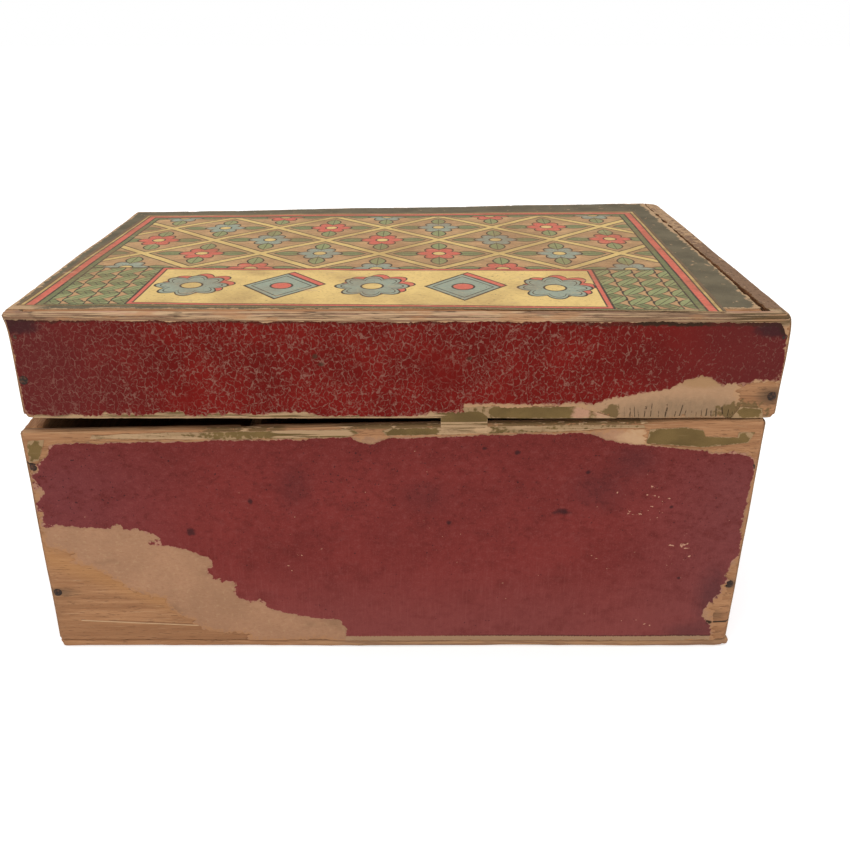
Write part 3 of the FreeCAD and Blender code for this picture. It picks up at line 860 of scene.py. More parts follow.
def olive_finish():
    """Remains of the olive hinge strip: whole in patches, worn to pale streaks elsewhere."""
    finish = Finish("olive_paper")
    x, z = finish.x, finish.z
    tone = finish.clouds(7, (2, 2, 1), seed=1, detail=4.0)
    tooth = finish.clouds(0.55, seed=2, detail=4.0)
    finish.colour = finish.shades(finish.rise(tone, 0.3, 0.7), "olive", 0.78, 1.15)
    finish.coat(finish.rise(tooth, 0.5, 0.8) * 0.3, "olive", 0.5)
    on_lid = finish.rise(z, SEAM - 0.3, SEAM)
    lid_bare = finish.rise(x, -26, -14) * on_lid
    base_bare = finish.stretches(x, BARE_STRETCHES) * (1 - on_lid)
    thin_bare = finish.near(x, *THIN_STRETCH) * (1 - on_lid) * 0.7
    tab_bare = finish.near(x, *TAB_STRETCH) * finish.rise(z, SEAM - 0.8, SEAM - 1.8) * 1.25
    bare = finish.most(lid_bare, base_bare, thin_bare, tab_bare)
    streaks = finish.clouds(0.65, (34, 34, 1), seed=3, detail=4.0, roughness=0.6)
    worn = finish.rise(streaks + bare * 0.3, 0.7, 0.8)
    finish.coat(worn * 0.85, "core", 0.92)
    lines = finish.near(streaks, 0.46, 0.015, 0.02) * bare
    finish.coat(lines * 0.6, "olive", 0.4)
    pinched = finish.spots(x, z, PINCHED_PATCHES, soft=0.3, ragged=1.5)
    finish.coat(pinched * (0.6 + tooth * 0.5), "pink_core", 1.05)
    frayed = finish.spot(x, z, *FRAYED_PATCH, soft=0.3, ragged=1.6)
    finish.coat(frayed * 0.7, "core", 1.1)
    rubbed = finish.rise(finish.inland() + finish.clouds(1.5, seed=5, detail=3.0) * 1.4, 0.95, 0.7)
    finish.coat(rubbed * 0.6, "core", 0.9)
    return finish.done(0.85, tooth + worn * 0.5, 0.15, shine=0.12)


def border_finish():
    """Dark olive paper round the label, rubbed pale along its edges."""
    finish = Finish("border_paper")
    x, y = finish.x - bpy.context.scene.game_box_boards.lean / MM, finish.y
    tone = finish.clouds(12, seed=1, detail=4.0)
    tooth = finish.clouds(0.6, seed=2, detail=4.0)
    finish.colour = finish.shades(finish.rise(tone, 0.3, 0.7), "border", 0.8, 1.15)
    finish.coat(finish.rise(tooth, 0.5, 0.8) * 0.3, "border", 0.5)
    strip = finish.rise(x, LEFT_JOINT + 0.6, LEFT_JOINT - 0.2)
    finish.coat(strip * 0.8, "layer", 0.92)
    rub = finish.clouds(3.2, seed=3, detail=5.0, roughness=0.6)
    far = finish.rise(y, 30, -50)
    left = finish.rise(x, -110, -130) * (0.3 + far * 0.9)
    wide = 0.4 + left + finish.rise(x, 122, 134) * 0.8 - strip * 2.0
    rubbed = finish.rise(finish.inland() + (rub - 0.5) * 7, wide + 0.5, wide - 0.4)
    finish.coat(rubbed * 0.85, "core")
    scuffs = finish.rise(rub + strip * far * 0.22, 0.63, 0.7)
    finish.coat(scuffs * 0.75, "core")
    pulp = finish.clouds(1.4, seed=4, detail=4.0)
    finish.coat(finish.rise(pulp, 0.52, 0.66) * strip * 0.6, "grime_and_shade", 0.8)
    corner = finish.spot(x, y, *RUBBED_CORNER, soft=0.4, ragged=1.0)
    finish.coat(corner * 0.9, "core", 0.95)
    return finish.done(0.84, tooth + rub * 0.5, 0.2, shine=0.12)


def core_finish():
    """Pale inside of the papers, seen at torn edges."""
    finish = Finish("torn_paper_core")
    fibre = finish.clouds(0.6, seed=1, detail=4.0)
    finish.colour = finish.shades(finish.rise(fibre, 0.35, 0.7), "core", 0.6, 0.9)
    return finish.done(0.95, fibre, 0.1, shine=0.1)


def iron_finish():
    """Rusted iron of the nails."""
    finish = Finish("rusted_iron")
    scale = finish.clouds(0.9, seed=1, detail=4.0)
    finish.colour = finish.mix(finish.rise(scale, 0.45, 0.72), paint("iron"), paint("rust"))
    return finish.done(0.6 + scale * 0.35, scale, 0.2, shine=0.2)


# The printed label

def trellis(finish, u, v):
    """Begins the print with a field of ribbons crossing, with a flower and four leaves between them."""
    along, deep = TRELLIS_PITCH
    rising = u / along + v / deep
    falling = u / along - v / deep
    first = finish.math("WRAP", rising, 0.5, -0.5)
    second = finish.math("WRAP", falling, 0.5, -0.5)
    across = (first + second) * (along / 2)
    up = (first - second) * (deep / 2)
    reach = finish.radius(across, up)
    angle = finish.math("ARCTAN2", up, across)
    odd = finish.rise(abs(finish.math("WRAP", rising, 1.0, -1.0)), 0.49, 0.51)

    tone = finish.clouds(8, seed=31, detail=5.0, roughness=0.6)
    finish.colour = finish.shades(finish.rise(tone, 0.3, 0.7), "ground", 0.82, 1.12)
    shade = finish.rise(reach, 9, 22) * finish.rise(tone, 0.35, 0.6)
    finish.coat(shade * 0.45, "green", 0.9)
    rows = abs(finish.math("WRAP", v + tone * 1.5, 0.9, -0.9))
    hatched = finish.rise(rows, 0.6, 0.8) * finish.rise(finish.clouds(6, (2, 1, 1), seed=32), 0.45, 0.55)
    finish.coat(hatched * 0.55, "ink")

    ribs = []
    leaves = ((across, up, 13.0, 7.0, 3.6, 1.0), (up, across, 12.5, 6.0, 3.4, 1.25))
    for stem, side, middle, half_length, half_width, shade in leaves:
        beyond = (abs(stem) - middle) / half_length
        leaf = (1 - beyond * beyond) * half_width - abs(side)
        finish.printed(leaf, paint("green", shade), 0.7)
        ribs.append(finish.near(side, 0.0, 0.2, 0.15) * finish.rise(leaf, 0.4, 0.8))
    finish.coat(finish.most(*ribs) * 0.8, "ink")
    petals = abs(finish.math("COSINE", angle * 3.0)) * 3.4 + 6.4 - reach
    fill = finish.mix(odd, paint("red"), paint("blue"))
    fill = finish.mix(finish.rise(petals, 2.2, 0.6) * 0.4, fill, paint("stain"))
    finish.printed(petals, fill, 0.8)
    veins = finish.rise(abs(finish.math("SINE", angle * 12.0)), 0.3, 0.1) * finish.near(reach, 4.9, 1.3, 0.3)
    finish.coat(veins * 0.6, "ink")
    finish.printed(2.9 - reach, paint("yellow"), 0.7)

    wall = 0.5 - finish.most(abs(first), abs(second))
    ribbon = 1.9 - wall * (along * deep / math.hypot(along, deep))
    finish.printed(ribbon, paint("yellow", 0.92), 0.7)


def foliage(finish, u, v):
    """Rows of slanted leaves in two greens on a tan ground, as a colour."""
    half_along, half_deep = FOLIAGE_PITCH[0] / 2, FOLIAGE_PITCH[1] / 2
    colour = paint("ground", 0.9)
    for drop, slant, shade in ((0.0, 0.7, 0.85), (half_deep, -0.7, 1.3)):
        row = finish.math("WRAP", v + drop, half_deep, -half_deep)
        stem = finish.math("WRAP", u + row * slant, half_along, -half_along)
        leaf = (1 - row * row / half_deep ** 2) * 3.4 - abs(stem)
        colour = finish.inked(colour, leaf, paint("green", shade), 0.6)
        rib = finish.near(stem, 0.0, 0.2, 0.15) * finish.rise(leaf, 0.0, 0.3)
        colour = finish.mix(rib, colour, paint("ink"))
    return colour


def band_row(finish, u, v):
    """Rosettes and lozenges by turns in one row; positive inside the shapes, in millimetres."""
    half = BAND_PITCH / 2
    across = finish.math("WRAP", u, half, -half)
    odd = finish.rise(abs(finish.math("WRAP", u, BAND_PITCH, -BAND_PITCH)), half - 0.1, half + 0.1)
    reach = finish.radius(across, v)
    angle = finish.math("ARCTAN2", v, across)
    rosette = abs(finish.math("COSINE", angle * 4.0)) * 3.8 + 10.4 - reach
    lozenge = (1 - abs(across) / 14.5 - abs(v) / 17.5) * 11.0
    return rosette + (lozenge - rosette) * odd, reach, odd


def bright_band(finish, u, v):
    """Prints the yellow panel with its row of large shapes, each with a red shadow."""
    half_length, half_depth = BAND_HALF
    inside = finish.least(half_depth - abs(v - BAND_MIDDLE), half_length - abs(u))
    finish.printed(inside, paint("red"), 0.8)
    tone = finish.clouds(14, seed=51, detail=4.0)
    yellow = finish.shades(finish.rise(tone, 0.3, 0.7), "yellow", 0.92, 1.06)
    finish.printed(inside - BAND_FRAME, yellow, 0.6)
    panel = inside - (BAND_FRAME + 0.4)
    shadow = band_row(finish, u + SHADOW_THROW[0], v - BAND_MIDDLE + SHADOW_THROW[1])[0]
    finish.printed(finish.least(shadow, panel), paint("red"), 0.7)
    shape, reach, odd = band_row(finish, u, v - BAND_MIDDLE)
    shape = finish.least(shape, panel)
    finish.printed(shape, paint("blue"), 0.9)
    finish.coat(finish.near(shape, 2.2, 0.25, 0.15), "ink")
    middle = finish.mix(odd, paint("yellow"), paint("red"))
    finish.printed(finish.least(4.2 - reach, panel), middle, 0.8)


def label_finish():
    """A printed sheet: a framed trellis of flowers with a bright band of rosettes and lozenges."""
    label = bpy.context.scene.game_box_label
    finish = Finish("printed_label")
    low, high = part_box("lid_label")
    middle = (low + high) / 2 + X_AXIS * bpy.context.scene.game_box_boards.lean + Y_AXIS * label.offset
    sockets = {"Vector": finish.place, "Location": middle, "Rotation": (0.0, 0.0, label.turn)}
    turned = finish.node("ShaderNodeMapping", {"vector_type": "TEXTURE"}, sockets).outputs[0]
    u, v = finish.axes(turned)[:2]
    edge = finish.least(label.length / 2 / MM - abs(u), label.depth / 2 / MM - abs(v))

    trellis(finish, u, v + TRELLIS_START)
    beside = finish.least(abs(u) - BAND_HALF[0], v - (BAND_MIDDLE - BAND_HALF[1]))
    finish.printed(beside, foliage(finish, u, v), 0.8)
    bright_band(finish, u, v)
    for depth, name, shade, line in FRAME_LINES:
        finish.printed(depth - edge, paint(name, shade), line)

    tooth = finish.clouds(0.5, seed=2, detail=3.0)
    mottle = finish.clouds(24, seed=3, detail=5.0)
    finish.coat(finish.rise(mottle, 0.42, 0.72) * 0.4, "stain")
    flecks = finish.clouds(1.3, seed=4, detail=3.0)
    finish.coat(finish.rise(flecks, 0.66, 0.72) * 0.6, "ink")
    grain = finish.clouds(0.7, (2, 1, 1), seed=6, detail=4.0)
    finish.coat(finish.rise(grain, 0.5, 0.75) * 0.4, "stain")
    finish.coat(finish.rise(grain, 0.44, 0.28) * 0.3, "yellow")
    rubs = finish.clouds(5.0, (3, 1, 1), seed=5, detail=5.0, roughness=0.65)
    finish.coat(finish.rise(rubs, 0.58, 0.72) * 0.55, "core", 1.05)
    darkened = finish.rise(edge + (rubs - 0.5) * 14, 5.0, 0.5)
    finish.coat(darkened * 0.45, "stain", 0.7)
    return finish.done(0.68 + tooth * 0.15, tooth + rubs * 0.4, 0.08, shine=0.18)


# Shaping

def merged_copy(node):
    """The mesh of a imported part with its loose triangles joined."""
    bm = bmesh.new()
    bm.from_mesh(frame["nodes"][node].data)
    bmesh.ops.remove_doubles(bm, verts=bm.verts[:], dist=TOUCH)
    return bm


def cut(bm, axis, place):
    """Divides the faces that a plane crosses."""
    geometry = bm.verts[:] + bm.edges[:] + bm.faces[:]
    bmesh.ops.bisect_plane(bm, geom=geometry, dist=TOUCH, plane_co=axis * place, plane_no=axis)


def lattice(bm, axes, step, margins=()):
    """Divides a shape into cells, with closer cuts at some margins from its ends, so that it can warp."""
    for axis in axes:
        reach = [vert.co.dot(axis) for vert in bm.verts]
        low, high = min(reach), max(reach)
        count = int((high - low) / step)
        places = [low + index * (high - low) / (count + 1) for index in range(1, count + 1)]
        for margin in margins:
            if high - low > 4 * margin:
                places += [low + margin, high - margin]
        for place in places:
            cut(bm, axis, place)


def waves(place, length, shift):
    """Steady noise between -1 and 1 at a place, with waves of a length in millimetres."""
    return noise.noise(place / (length * MM) + shift)


def settled(place, body):
    """Where a point lies on the old box: corners worn round, walls wavy, and the lid twisted and leaning."""
    boards = bpy.context.scene.game_box_boards
    low, high = TRAYS[body]
    spot = place.copy()
    for axes in ((0, 1), (0, 2)):
        radius = boards.corner
        if body == "lid" and axes == (0, 1) and place.x < 0 and place.y < 0:
            radius = boards.far_corner
        over = []
        for axis in axes:
            below = spot[axis] - low[axis] - radius
            above = spot[axis] - high[axis] + radius
            over.append(below if below < 0 else max(0.0, above))
        reach = math.hypot(*over)
        if reach > TOUCH:
            share = max(abs(part) for part in over) / reach
            for axis, part in zip(axes, over):
                spot[axis] += part * (share - 1)
    long_wave, short_wave, firm_foot = 40 * MM, 11 * MM, 20 * MM
    drift = noise.noise_vector(place / long_wave) + noise.noise_vector(place / short_wave) * 0.3
    drift.z *= min(1.0, abs(place.z) / firm_foot)
    spot += drift * boards.wave
    if body == "lid":
        forward = (high.y - place.y) / (high.y - low.y)
        upward = min(1.0, max(0.0, (place.z - low.z) / (high.z - low.z)))
        sideways = place.x / high.x
        spot.z -= boards.twist * forward * upward * sideways
        near_top = upward ** 12
        spot.x += boards.lean * near_top
    return spot


def grow(bm, faces, vector):
    """Pushes some faces of a block outwards."""
    made = bmesh.ops.extrude_face_region(bm, geom=faces)
    moved = [item for item in made["geom"] if isinstance(item, bmesh.types.BMVert)]
    bmesh.ops.translate(bm, vec=vector, verts=moved)
    bmesh.ops.delete(bm, geom=[face for face in faces if face.is_valid], context="FACES")


def block(node):
    """A block with the corners of a packed board, sloping edges included; the bottom board has slid out."""
    low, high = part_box(node)
    bm = bmesh.new()
    bmesh.ops.create_cube(bm, size=1.0)
    bmesh.ops.scale(bm, vec=high - low, verts=bm.verts)
    bmesh.ops.translate(bm, vec=(low + high) / 2, verts=bm.verts)
    if node == "bottom_board":
        end = [vert for vert in bm.verts if vert.co.x < low.x + TOUCH]
        bmesh.ops.translate(bm, vec=-X_AXIS * bpy.context.scene.game_box_boards.ledge, verts=end)
        return bm
    corners = [vert.co for vert in frame["nodes"][node].data.vertices]
    for vert in bm.verts:
        vert.co = min(corners, key=lambda corner: (corner - vert.co).length)
    return bm


def rabbeted_block(node):
    """A face board of the lid, with the ledge that carries the top board."""
    bm = block(node)
    low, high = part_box("lid_top_board")
    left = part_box("lid_left_board")[1].x
    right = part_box("lid_right_board")[0].x
    line = high.y if node == "lid_back_board" else low.y
    rise = Z_AXIS * (high.z - low.z)
    upper = [vert for vert in bm.verts if vert.co.z > low.z]
    bmesh.ops.translate(bm, vec=-rise, verts=upper)
    cut(bm, X_AXIS, left)
    cut(bm, X_AXIS, right)
    cut(bm, Y_AXIS, line)

    def carries(face):
        middle = face.calc_center_median()
        return left < middle.x < right and abs(middle.y) < abs(line)

    grow(bm, [face for face in bm.faces if face.normal.z > FACING and not carries(face)], rise)
    return bm


def grooved_block(node):
    """A face board of the base, with the groove that holds the partition."""
    bm = block(node)
    low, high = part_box("partition_board")
    own_low, own_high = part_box(node)
    inward, face_line, line = Y_AXIS, own_high.y, low.y
    if node == "base_back_board":
        inward, face_line, line = -Y_AXIS, own_low.y, high.y
    depth = abs(line - face_line)
    inner = [vert for vert in bm.verts if abs(vert.co.y - face_line) < TOUCH]
    bmesh.ops.translate(bm, vec=-inward * depth, verts=inner)
    cut(bm, X_AXIS, low.x)
    cut(bm, X_AXIS, high.x)
    beside = [face for face in bm.faces if face.normal.dot(inward) > FACING
              and not low.x < face.calc_center_median().x < high.x]
    grow(bm, beside, inward * depth)
    return bm


def canted_block(node):
    """The lid's top board: its left edge slopes under the end board, so its joint is open on top only."""
    bm = block(node)
    low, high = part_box(node)
    under = [vert for vert in bm.verts if vert.co.x < low.x + TOUCH and vert.co.z < high.z - TOUCH]
    bmesh.ops.translate(bm, vec=X_AXIS * (LEFT_JOINT * MM - low.x - JOINT_TUCK), verts=under)
    return bm


JOINTED_BLOCKS = {
    "lid_top_board": canted_block,
    "lid_back_board": rabbeted_block,
    "lid_front_board": rabbeted_block,
    "base_back_board": grooved_block,
    "base_front_board": grooved_block,
}


def worn_board(node, seed):
    """A board with rounded arrises and worn edges."""
    boards = bpy.context.scene.game_box_boards
    bm = JOINTED_BLOCKS.get(node, block)(node)
    bm.normal_update()
    sharp = 0.5
    edges = [edge for edge in bm.edges if edge.calc_face_angle(0.0) > sharp]
    bmesh.ops.bevel(bm, geom=edges, offset=boards.arris, offset_type="OFFSET", segments=2, profile=0.5,
                    affect="EDGES", clamp_overlap=True, material=-1)
    lattice(bm, (X_AXIS, Y_AXIS, Z_AXIS), boards.cell, EDGE_CUTS)
    bm.normal_update()
    shift = Vector((seed * 3.7, seed * 1.9, seed * 5.3))
    for vert in bm.verts:
        normal = vert.normal.copy()
        edge = 1 - max(abs(part) for part in normal)
        bite = max(0.0, waves(vert.co, 9, shift) + 0.2)
        chip = max(0.0, waves(vert.co, 2.6, shift))
        vert.co -= normal * boards.wear * min(1.0, edge * 4) * (bite + chip)
    return bm


def sheet_outline(node, outward):
    """The outer face of a packed sheet."""
    bm = merged_copy(node)
    hidden = [face for face in bm.faces if face.normal.dot(outward) < FACING]
    bmesh.ops.delete(bm, geom=hidden, context="FACES")
    bmesh.ops.dissolve_limit(bm, angle_limit=math.radians(1), verts=bm.verts[:], edges=bm.edges[:])
    return bm


def bounds_of(bm):
    """The lowest and highest corners of a mesh."""
    low = Vector([min(vert.co[axis] for vert in bm.verts) for axis in range(3)])
    high = Vector([max(vert.co[axis] for vert in bm.verts) for axis in range(3)])
    return low, high


def outside(vert, outward):
    """The direction that points out of a sheet at a vertex of its outline."""
    edges = [edge for edge in vert.link_edges if edge.is_boundary]
    leaving = [edge for edge in edges if edge.link_loops[0].vert == vert]
    coming = [edge for edge in edges if edge.link_loops[0].vert != vert]
    if len(leaving) != 1 or len(coming) != 1:
        return Vector()
    along = leaving[0].other_vert(vert).co - coming[0].other_vert(vert).co
    return along.cross(outward).normalized()


def fray(bm, outward, step, depth, seed, fringe, calm_above):
    """Breaks an outline into short runs that stand out and in, and draws fibres out along the grain."""
    for edge in [edge for edge in bm.edges if edge.is_boundary]:
        cuts = int(edge.calc_length() / step)
        if cuts:
            bmesh.ops.subdivide_edges(bm, edges=[edge], cuts=cuts)
    bm.normal_update()
    shift = Vector((seed * 2.3, seed * 4.1, seed * 1.7))
    moves = []
    for vert in bm.verts:
        if not vert.is_boundary:
            continue
        place = vert.co
        teeth = 0.25 - abs(waves(place, 1.5, shift))
        run = waves(place, 5, shift) + 0.6 * waves(place, 0.9, -shift)
        rough = 0.35 + max(0.0, waves(place, 16, -shift) + 0.25)
        if place.z > calm_above:
            rough = 0.25
        strand = Vector((place.x / (9 * MM), 0, place.z / (1.1 * MM)))
        drawn = X_AXIS * noise.noise(strand + shift) * fringe
        moves.append((vert, outside(vert, outward) * (teeth + run) * rough * depth + drawn))
    low, high = bounds_of(bm)
    for vert, move in moves:
        moved = vert.co + move
        vert.co = Vector([min(max(part, least), most) for part, least, most in zip(moved, low, high)])


def note_inland(bm, shore):
    """Stores how far each point lies from the outline, in millimetres."""
    tree = kdtree.KDTree(len(shore))
    for index, place in enumerate(shore):
        tree.insert(place, index)
    tree.balance()
    layer = bm.verts.layers.float.new("inland")
    for vert in bm.verts:
        vert[layer] = tree.find(vert.co)[2] / MM


def calm_height(node):
    """The height above which a torn edge of a sheet runs nearly straight."""
    return TRAYS[BODY_OF[node]][1].z - CALM_DEPTH


def aged_sheet(node, outward, seed, fray_depth=None, curl=0.0, fringe=0.0, calm_above=1.0):
    """A sheet of paper with a frayed outline, ripples and a torn rim."""
    papers = bpy.context.scene.game_box_papers
    depth = papers.fray_depth if fray_depth is None else fray_depth
    bm = sheet_outline(node, outward)
    fray(bm, outward, papers.fray_step, depth, seed, fringe, calm_above)
    shore = [vert.co.copy() for vert in bm.verts if vert.is_boundary]
    flat_axes = [axis for axis in (X_AXIS, Y_AXIS, Z_AXIS) if abs(axis.dot(outward)) < 0.5]
    lattice(bm, flat_axes, papers.cell)
    shift = Vector((seed * 1.3, seed * 2.9, seed * 4.7))
    for vert in bm.verts:
        wave = waves(vert.co, 22, shift) + 0.4 * waves(vert.co, 7, shift)
        vert.co += outward * papers.ripple * wave
        if curl and vert.is_boundary:
            vert.co += outward * curl * max(0.0, waves(vert.co, 9, -shift))
    made = bmesh.ops.extrude_face_region(bm, geom=bm.faces[:])
    under = [item for item in made["geom"] if isinstance(item, bmesh.types.BMVert)]
    bmesh.ops.translate(bm, vec=-outward * papers.thickness, verts=under)
    bmesh.ops.recalc_face_normals(bm, faces=bm.faces[:])
    bm.normal_update()
    for face in bm.faces:
        face.material_index = 1 if abs(face.normal.dot(outward)) < 0.6 else 0
    note_inland(bm, shore)
    return bm


def nail_group(node, outward):
    """Nails with domed, hammered heads."""
    boards = bpy.context.scene.game_box_boards
    bm = merged_copy(node)
    reach = max(vert.co.dot(outward) for vert in bm.verts)
    bmesh.ops.dissolve_limit(bm, angle_limit=math.radians(1), verts=bm.verts[:], edges=bm.edges[:])
    heads = [face for face in bm.faces if face.calc_center_median().dot(outward) > reach - TOUCH]
    proud = 0.0 if outward == -Z_AXIS else 1.0
    for inset in HEAD_INSETS:
        bmesh.ops.inset_individual(bm, faces=heads, thickness=inset, depth=proud * HEAD_DOME)
    bmesh.ops.translate(bm, vec=outward * proud * boards.head_rise, verts=bm.verts)
    low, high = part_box(node)
    dent_size, dent_depth = 1.4, 0.07
    for vert in bm.verts:
        vert.co += noise.noise_vector(vert.co / (dent_size * MM)) * dent_depth * MM
        if node == "lid_back_nails" and vert.co.x > 0 and vert.co.z < (low.z + high.z) / 2:
            vert.co += outward * boards.torn_rise
    return bm


def add_piece(bm, node, materials, ride=True):
    """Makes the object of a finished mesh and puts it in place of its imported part."""
    name = "aged_" + node
    for vert in bm.verts:
        vert.co = settled(vert.co, BODY_OF[node])
    mesh = bpy.data.meshes.new(name)
    bm.to_mesh(mesh)
    bm.free()
    for material in materials:
        mesh.materials.append(material)
    mesh.shade_smooth()
    mesh.set_sharp_from_angle(angle=math.radians(40))
    piece = bpy.data.objects.new(name, mesh)
    bpy.context.scene.collection.objects.link(piece)
    if ride:
        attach(piece, BODY_OF[node])
    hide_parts(node)
    return piece


def shared(maker, name, *terms):
    """A material by name, made the first time that it is asked for."""
    return bpy.data.materials.get(name) or maker(*terms)


def board_finish(node):
    """The wood of a board; both back boards have marks of their own."""
    if node == "base_back_board":
        return base_back_wood("base_back_wood")
    if node == "lid_back_board":
        return lid_back_wood("lid_back_wood")
    along = "Y" if node in CROSS_BOARDS else "X"
    name = "_".join((BODY_OF[node], "wood_along", along.lower()))
    seed = 31 if BODY_OF[node] == "lid" else 37
    return shared(plain_wood, name, name, along, seed)


# Operators

class GAMEBOX_OT_boards(bpy.types.Operator):
    """Makes the worn boards of the base and the lid"""

    bl_idname = "gamebox.boards"
    bl_label = "Boards"

    def execute(self, context):
        for seed, node in enumerate(BOARDS):
            add_piece(worn_board(node, seed), node, [board_finish(node)])
        return {"FINISHED"}


class GAMEBOX_OT_nails(bpy.types.Operator):
    """Makes the rusted nails"""

    bl_idname = "gamebox.nails"
    bl_label = "Nails"

    def execute(self, context):
        material = iron_finish()
        for node, outward in NAIL_SIDES.items():
            add_piece(nail_group(node, outward), node, [material])
        return {"FINISHED"}


class GAMEBOX_OT_whole_papers(bpy.types.Operator):
    """Makes the red papers of the front and the ends"""

    bl_idname = "gamebox.whole_papers"
    bl_label = "Whole papers"

    def execute(self, context):
        core = shared(core_finish, "torn_paper_core")
        faded = shared(faded_red_finish, "faded_red_paper")
        crackled = shared(crackled_red_finish, "crackled_red_paper")
        for seed, (node, outward) in enumerate(WHOLE_SIDES.items(), 20):
            red = crackled if BODY_OF[node] == "lid" else faded
            add_piece(aged_sheet(node, outward, seed), node, [red, core])
        return {"FINISHED"}


class GAMEBOX_OT_torn_papers(bpy.types.Operator):
    """Makes the torn red papers of the hinge side"""

    bl_idname = "gamebox.torn_papers"
    bl_label = "Torn papers"

    def execute(self, context):
        core = shared(core_finish, "torn_paper_core")
        faded = shared(faded_red_finish, "faded_red_paper")
        crackled = shared(crackled_red_finish, "crackled_red_paper")
        depth = context.scene.game_box_papers.tear_depth
        for seed, node, red in ((31, "base_back_paper", faded), (32, "lid_back_paper", crackled)):
            sheet = aged_sheet(node, Y_AXIS, seed, depth, curl=CURL, calm_above=calm_height(node))
            add_piece(sheet, node, [red, core])
        return {"FINISHED"}


class GAMEBOX_OT_linings(bpy.types.Operator):
    """Makes the pale linings under the torn papers"""

    bl_idname = "gamebox.linings"
    bl_label = "Linings"

    def execute(self, context):
        papers = context.scene.game_box_papers
        lining = lining_finish()
        for seed, node in enumerate(("base_back_lining", "lid_back_lining"), 41):
            sheet = aged_sheet(node, Y_AXIS, seed, papers.tear_depth, fringe=papers.fringe,
                               calm_above=calm_height(node))
            add_piece(sheet, node, [lining])
        return {"FINISHED"}


class GAMEBOX_OT_hinge_remains(bpy.types.Operator):
    """Makes the remains of the olive hinge strip and the tab that still bridges the seam"""

    bl_idname = "gamebox.hinge_remains"
    bl_label = "Hinge remains"

    def execute(self, context):
        core = shared(core_finish, "torn_paper_core")
        olive = olive_finish()
        for seed, node in enumerate(("base_hinge_strip", "lid_hinge_strip"), 51):
            add_piece(aged_sheet(node, Y_AXIS, seed, fray_depth=STRIP_FRAY), node, [olive, core])
        sheet = aged_sheet("hinge_tab", Y_AXIS, 55, fray_depth=TAB_FRAY)
        tab = add_piece(sheet, "hinge_tab", [olive, core], ride=False)
        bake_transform(tab)
        return {"FINISHED"}


class GAMEBOX_OT_border(bpy.types.Operator):
    """Makes the dark border paper on the lid's top"""

    bl_idname = "gamebox.border"
    bl_label = "Border paper"

    def execute(self, context):
        core = shared(core_finish, "torn_paper_core")
        sheet = aged_sheet("lid_border_paper", Z_AXIS, 61, fray_depth=BORDER_FRAY)
        add_piece(sheet, "lid_border_paper", [border_finish(), core])
        return {"FINISHED"}


class GAMEBOX_OT_label(bpy.types.Operator):
    """Makes the printed label on the lid's top"""

    bl_idname = "gamebox.label"
    bl_label = "Label"

    def execute(self, context):
        core = shared(core_finish, "torn_paper_core")
        sheet = aged_sheet("lid_label", Z_AXIS, 71, fray_depth=LABEL_FRAY)
        add_piece(sheet, "lid_label", [label_finish(), core])
        return {"FINISHED"}


class GAMEBOX_OT_stage(bpy.types.Operator):
    """Makes the floor, the light and the camera"""

    bl_idname = "gamebox.stage"
    bl_label = "Stage"

    def execute(self, context):
        stage = context.scene.game_box_stage
        add_floor(stage)
        add_sky(context.scene, stage)
        add_lamp("key_lamp", Vector(stage.key_place), stage.key_size, stage.key)
        add_lamp("fill_lamp", Vector(stage.fill_place), stage.fill_size, stage.fill)
        add_camera(context.scene, stage)
        return {"FINISHED"}


# Stage, with half the side of the floor in metres and its drop below the box in millimetres

FLOOR_REACH = 6.0
FLOOR_GAP = 0.1


def add_floor(stage):
    """A wide pale floor that shows white and keeps the shadow of the box."""
    bm = bmesh.new()
    bmesh.ops.create_grid(bm, x_segments=1, y_segments=1, size=FLOOR_REACH)
    bmesh.ops.translate(bm, vec=Z_AXIS * -FLOOR_GAP * MM, verts=bm.verts)
    mesh = bpy.data.meshes.new("pale_floor")
    bm.to_mesh(mesh)
    bm.free()
    finish = Finish("pale_floor")
    finish.shader.inputs["Base Color"].default_value = (stage.floor, stage.floor, stage.floor, 1.0)
    finish.shader.inputs["Roughness"].default_value = 1.0
    finish.shader.inputs["Specular IOR Level"].default_value = 0.0
    glow = finish.node("ShaderNodeEmission", sockets={"Strength": finish.seen_directly() * stage.glow})
    both = finish.node("ShaderNodeAddShader", sockets={0: finish.shader.outputs[0], 1: glow.outputs[0]})
    finish.feed(finish.tree.nodes["Material Output"].inputs["Surface"], both.outputs[0])
    mesh.materials.append(finish.material)
    floor = bpy.data.objects.new("pale_floor", mesh)
    bpy.context.scene.collection.objects.link(floor)


def add_sky(scene, stage):
    """Even light from all round, white where the camera sees it."""
    world = bpy.data.worlds.new("studio")
    world.use_nodes = True
    scene.world = world
    wiring = Wiring(world.node_tree)
    background = world.node_tree.nodes["Background"]
    wiring.feed(background.inputs["Color"], (1.0, 1.0, 1.0, 1.0))
    wiring.feed(background.inputs["Strength"], stage.sky + wiring.seen_directly() * (1.0 - stage.sky))


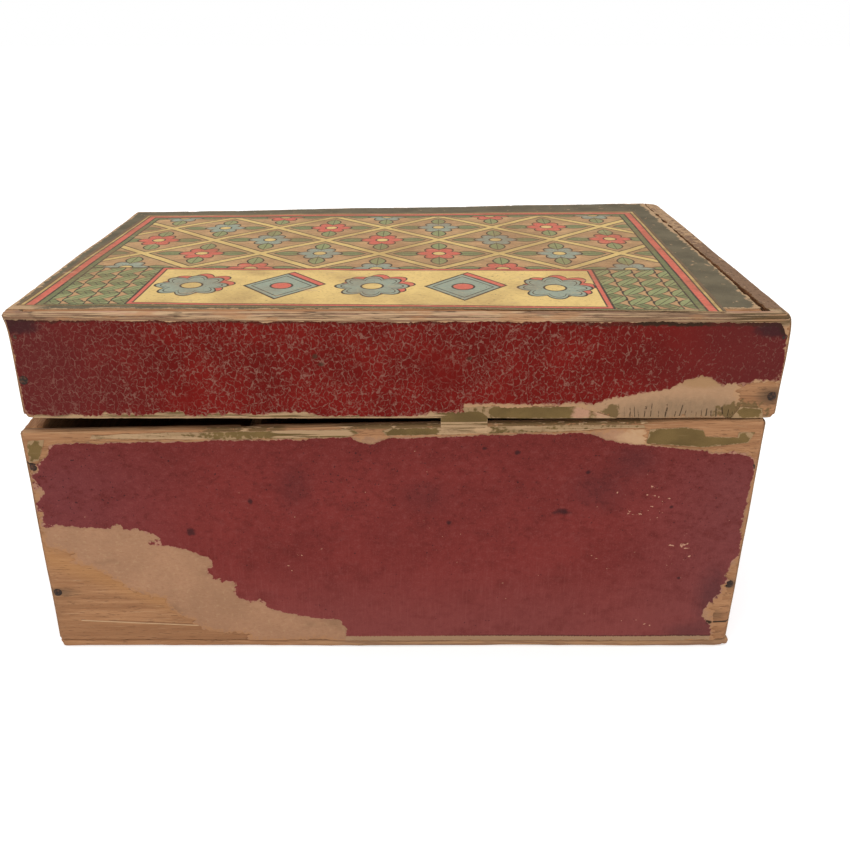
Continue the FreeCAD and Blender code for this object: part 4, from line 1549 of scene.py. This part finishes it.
def add_lamp(name, place, size, power):
    """A square soft lamp that looks at the middle of the box."""
    lamp = bpy.data.lights.new(name, "AREA")
    lamp.shape = "SQUARE"
    lamp.size = size
    lamp.energy = power
    holder = bpy.data.objects.new(name, lamp)
    low, high = CAD_BOX
    holder.location = place
    holder.rotation_euler = ((low + high) / 2 - place).to_track_quat("-Z", "Y").to_euler()
    bpy.context.scene.collection.objects.link(holder)


def add_camera(scene, stage):
    """A camera on the hinge side, level across, looking down at the box."""
    camera = bpy.data.cameras.new("camera")
    camera.lens = stage.lens
    camera.sensor_width = 36.0
    camera.shift_x = stage.shift
    camera.clip_start = 0.01
    holder = bpy.data.objects.new("camera", camera)
    holder.location = stage.place
    holder.rotation_euler = (math.radians(90) - stage.tilt, 0.0, math.radians(180))
    scene.collection.objects.link(holder)
    scene.camera = holder
    scene.view_settings.view_transform = "Standard"


OPERATORS = (
    GAMEBOX_OT_boards,
    GAMEBOX_OT_nails,
    GAMEBOX_OT_whole_papers,
    GAMEBOX_OT_torn_papers,
    GAMEBOX_OT_linings,
    GAMEBOX_OT_hinge_remains,
    GAMEBOX_OT_border,
    GAMEBOX_OT_label,
    GAMEBOX_OT_stage,
)


class GAMEBOX_PT_dressing(bpy.types.Panel):
    """Lists the pieces of the game box"""

    bl_idname = "GAMEBOX_PT_dressing"
    bl_label = "Game Box"
    bl_space_type = "VIEW_3D"
    bl_region_type = "UI"
    bl_category = "Game Box"

    def draw(self, context):
        for operator in OPERATORS:
            self.layout.operator(operator.bl_idname)


def register():
    """Adds the settings, the operators and the panel."""
    for name, group in SETTINGS.items():
        bpy.utils.register_class(group)
        setattr(bpy.types.Scene, name, bpy.props.PointerProperty(type=group))
    for operator in OPERATORS:
        bpy.utils.register_class(operator)
    bpy.utils.register_class(GAMEBOX_PT_dressing)


def unregister():
    """Takes them away again."""
    bpy.utils.unregister_class(GAMEBOX_PT_dressing)
    for operator in reversed(OPERATORS):
        bpy.utils.unregister_class(operator)
    for name, group in reversed(SETTINGS.items()):
        delattr(bpy.types.Scene, name)
        bpy.utils.unregister_class(group)


def main():
    """Builds every piece in order."""
    register()
    noise.seed_set(NOISE_SEED)
    for operator in OPERATORS:
        group, name = operator.bl_idname.split(".")
        getattr(getattr(bpy.ops, group), name)()


if __name__ == "__main__":
    main()
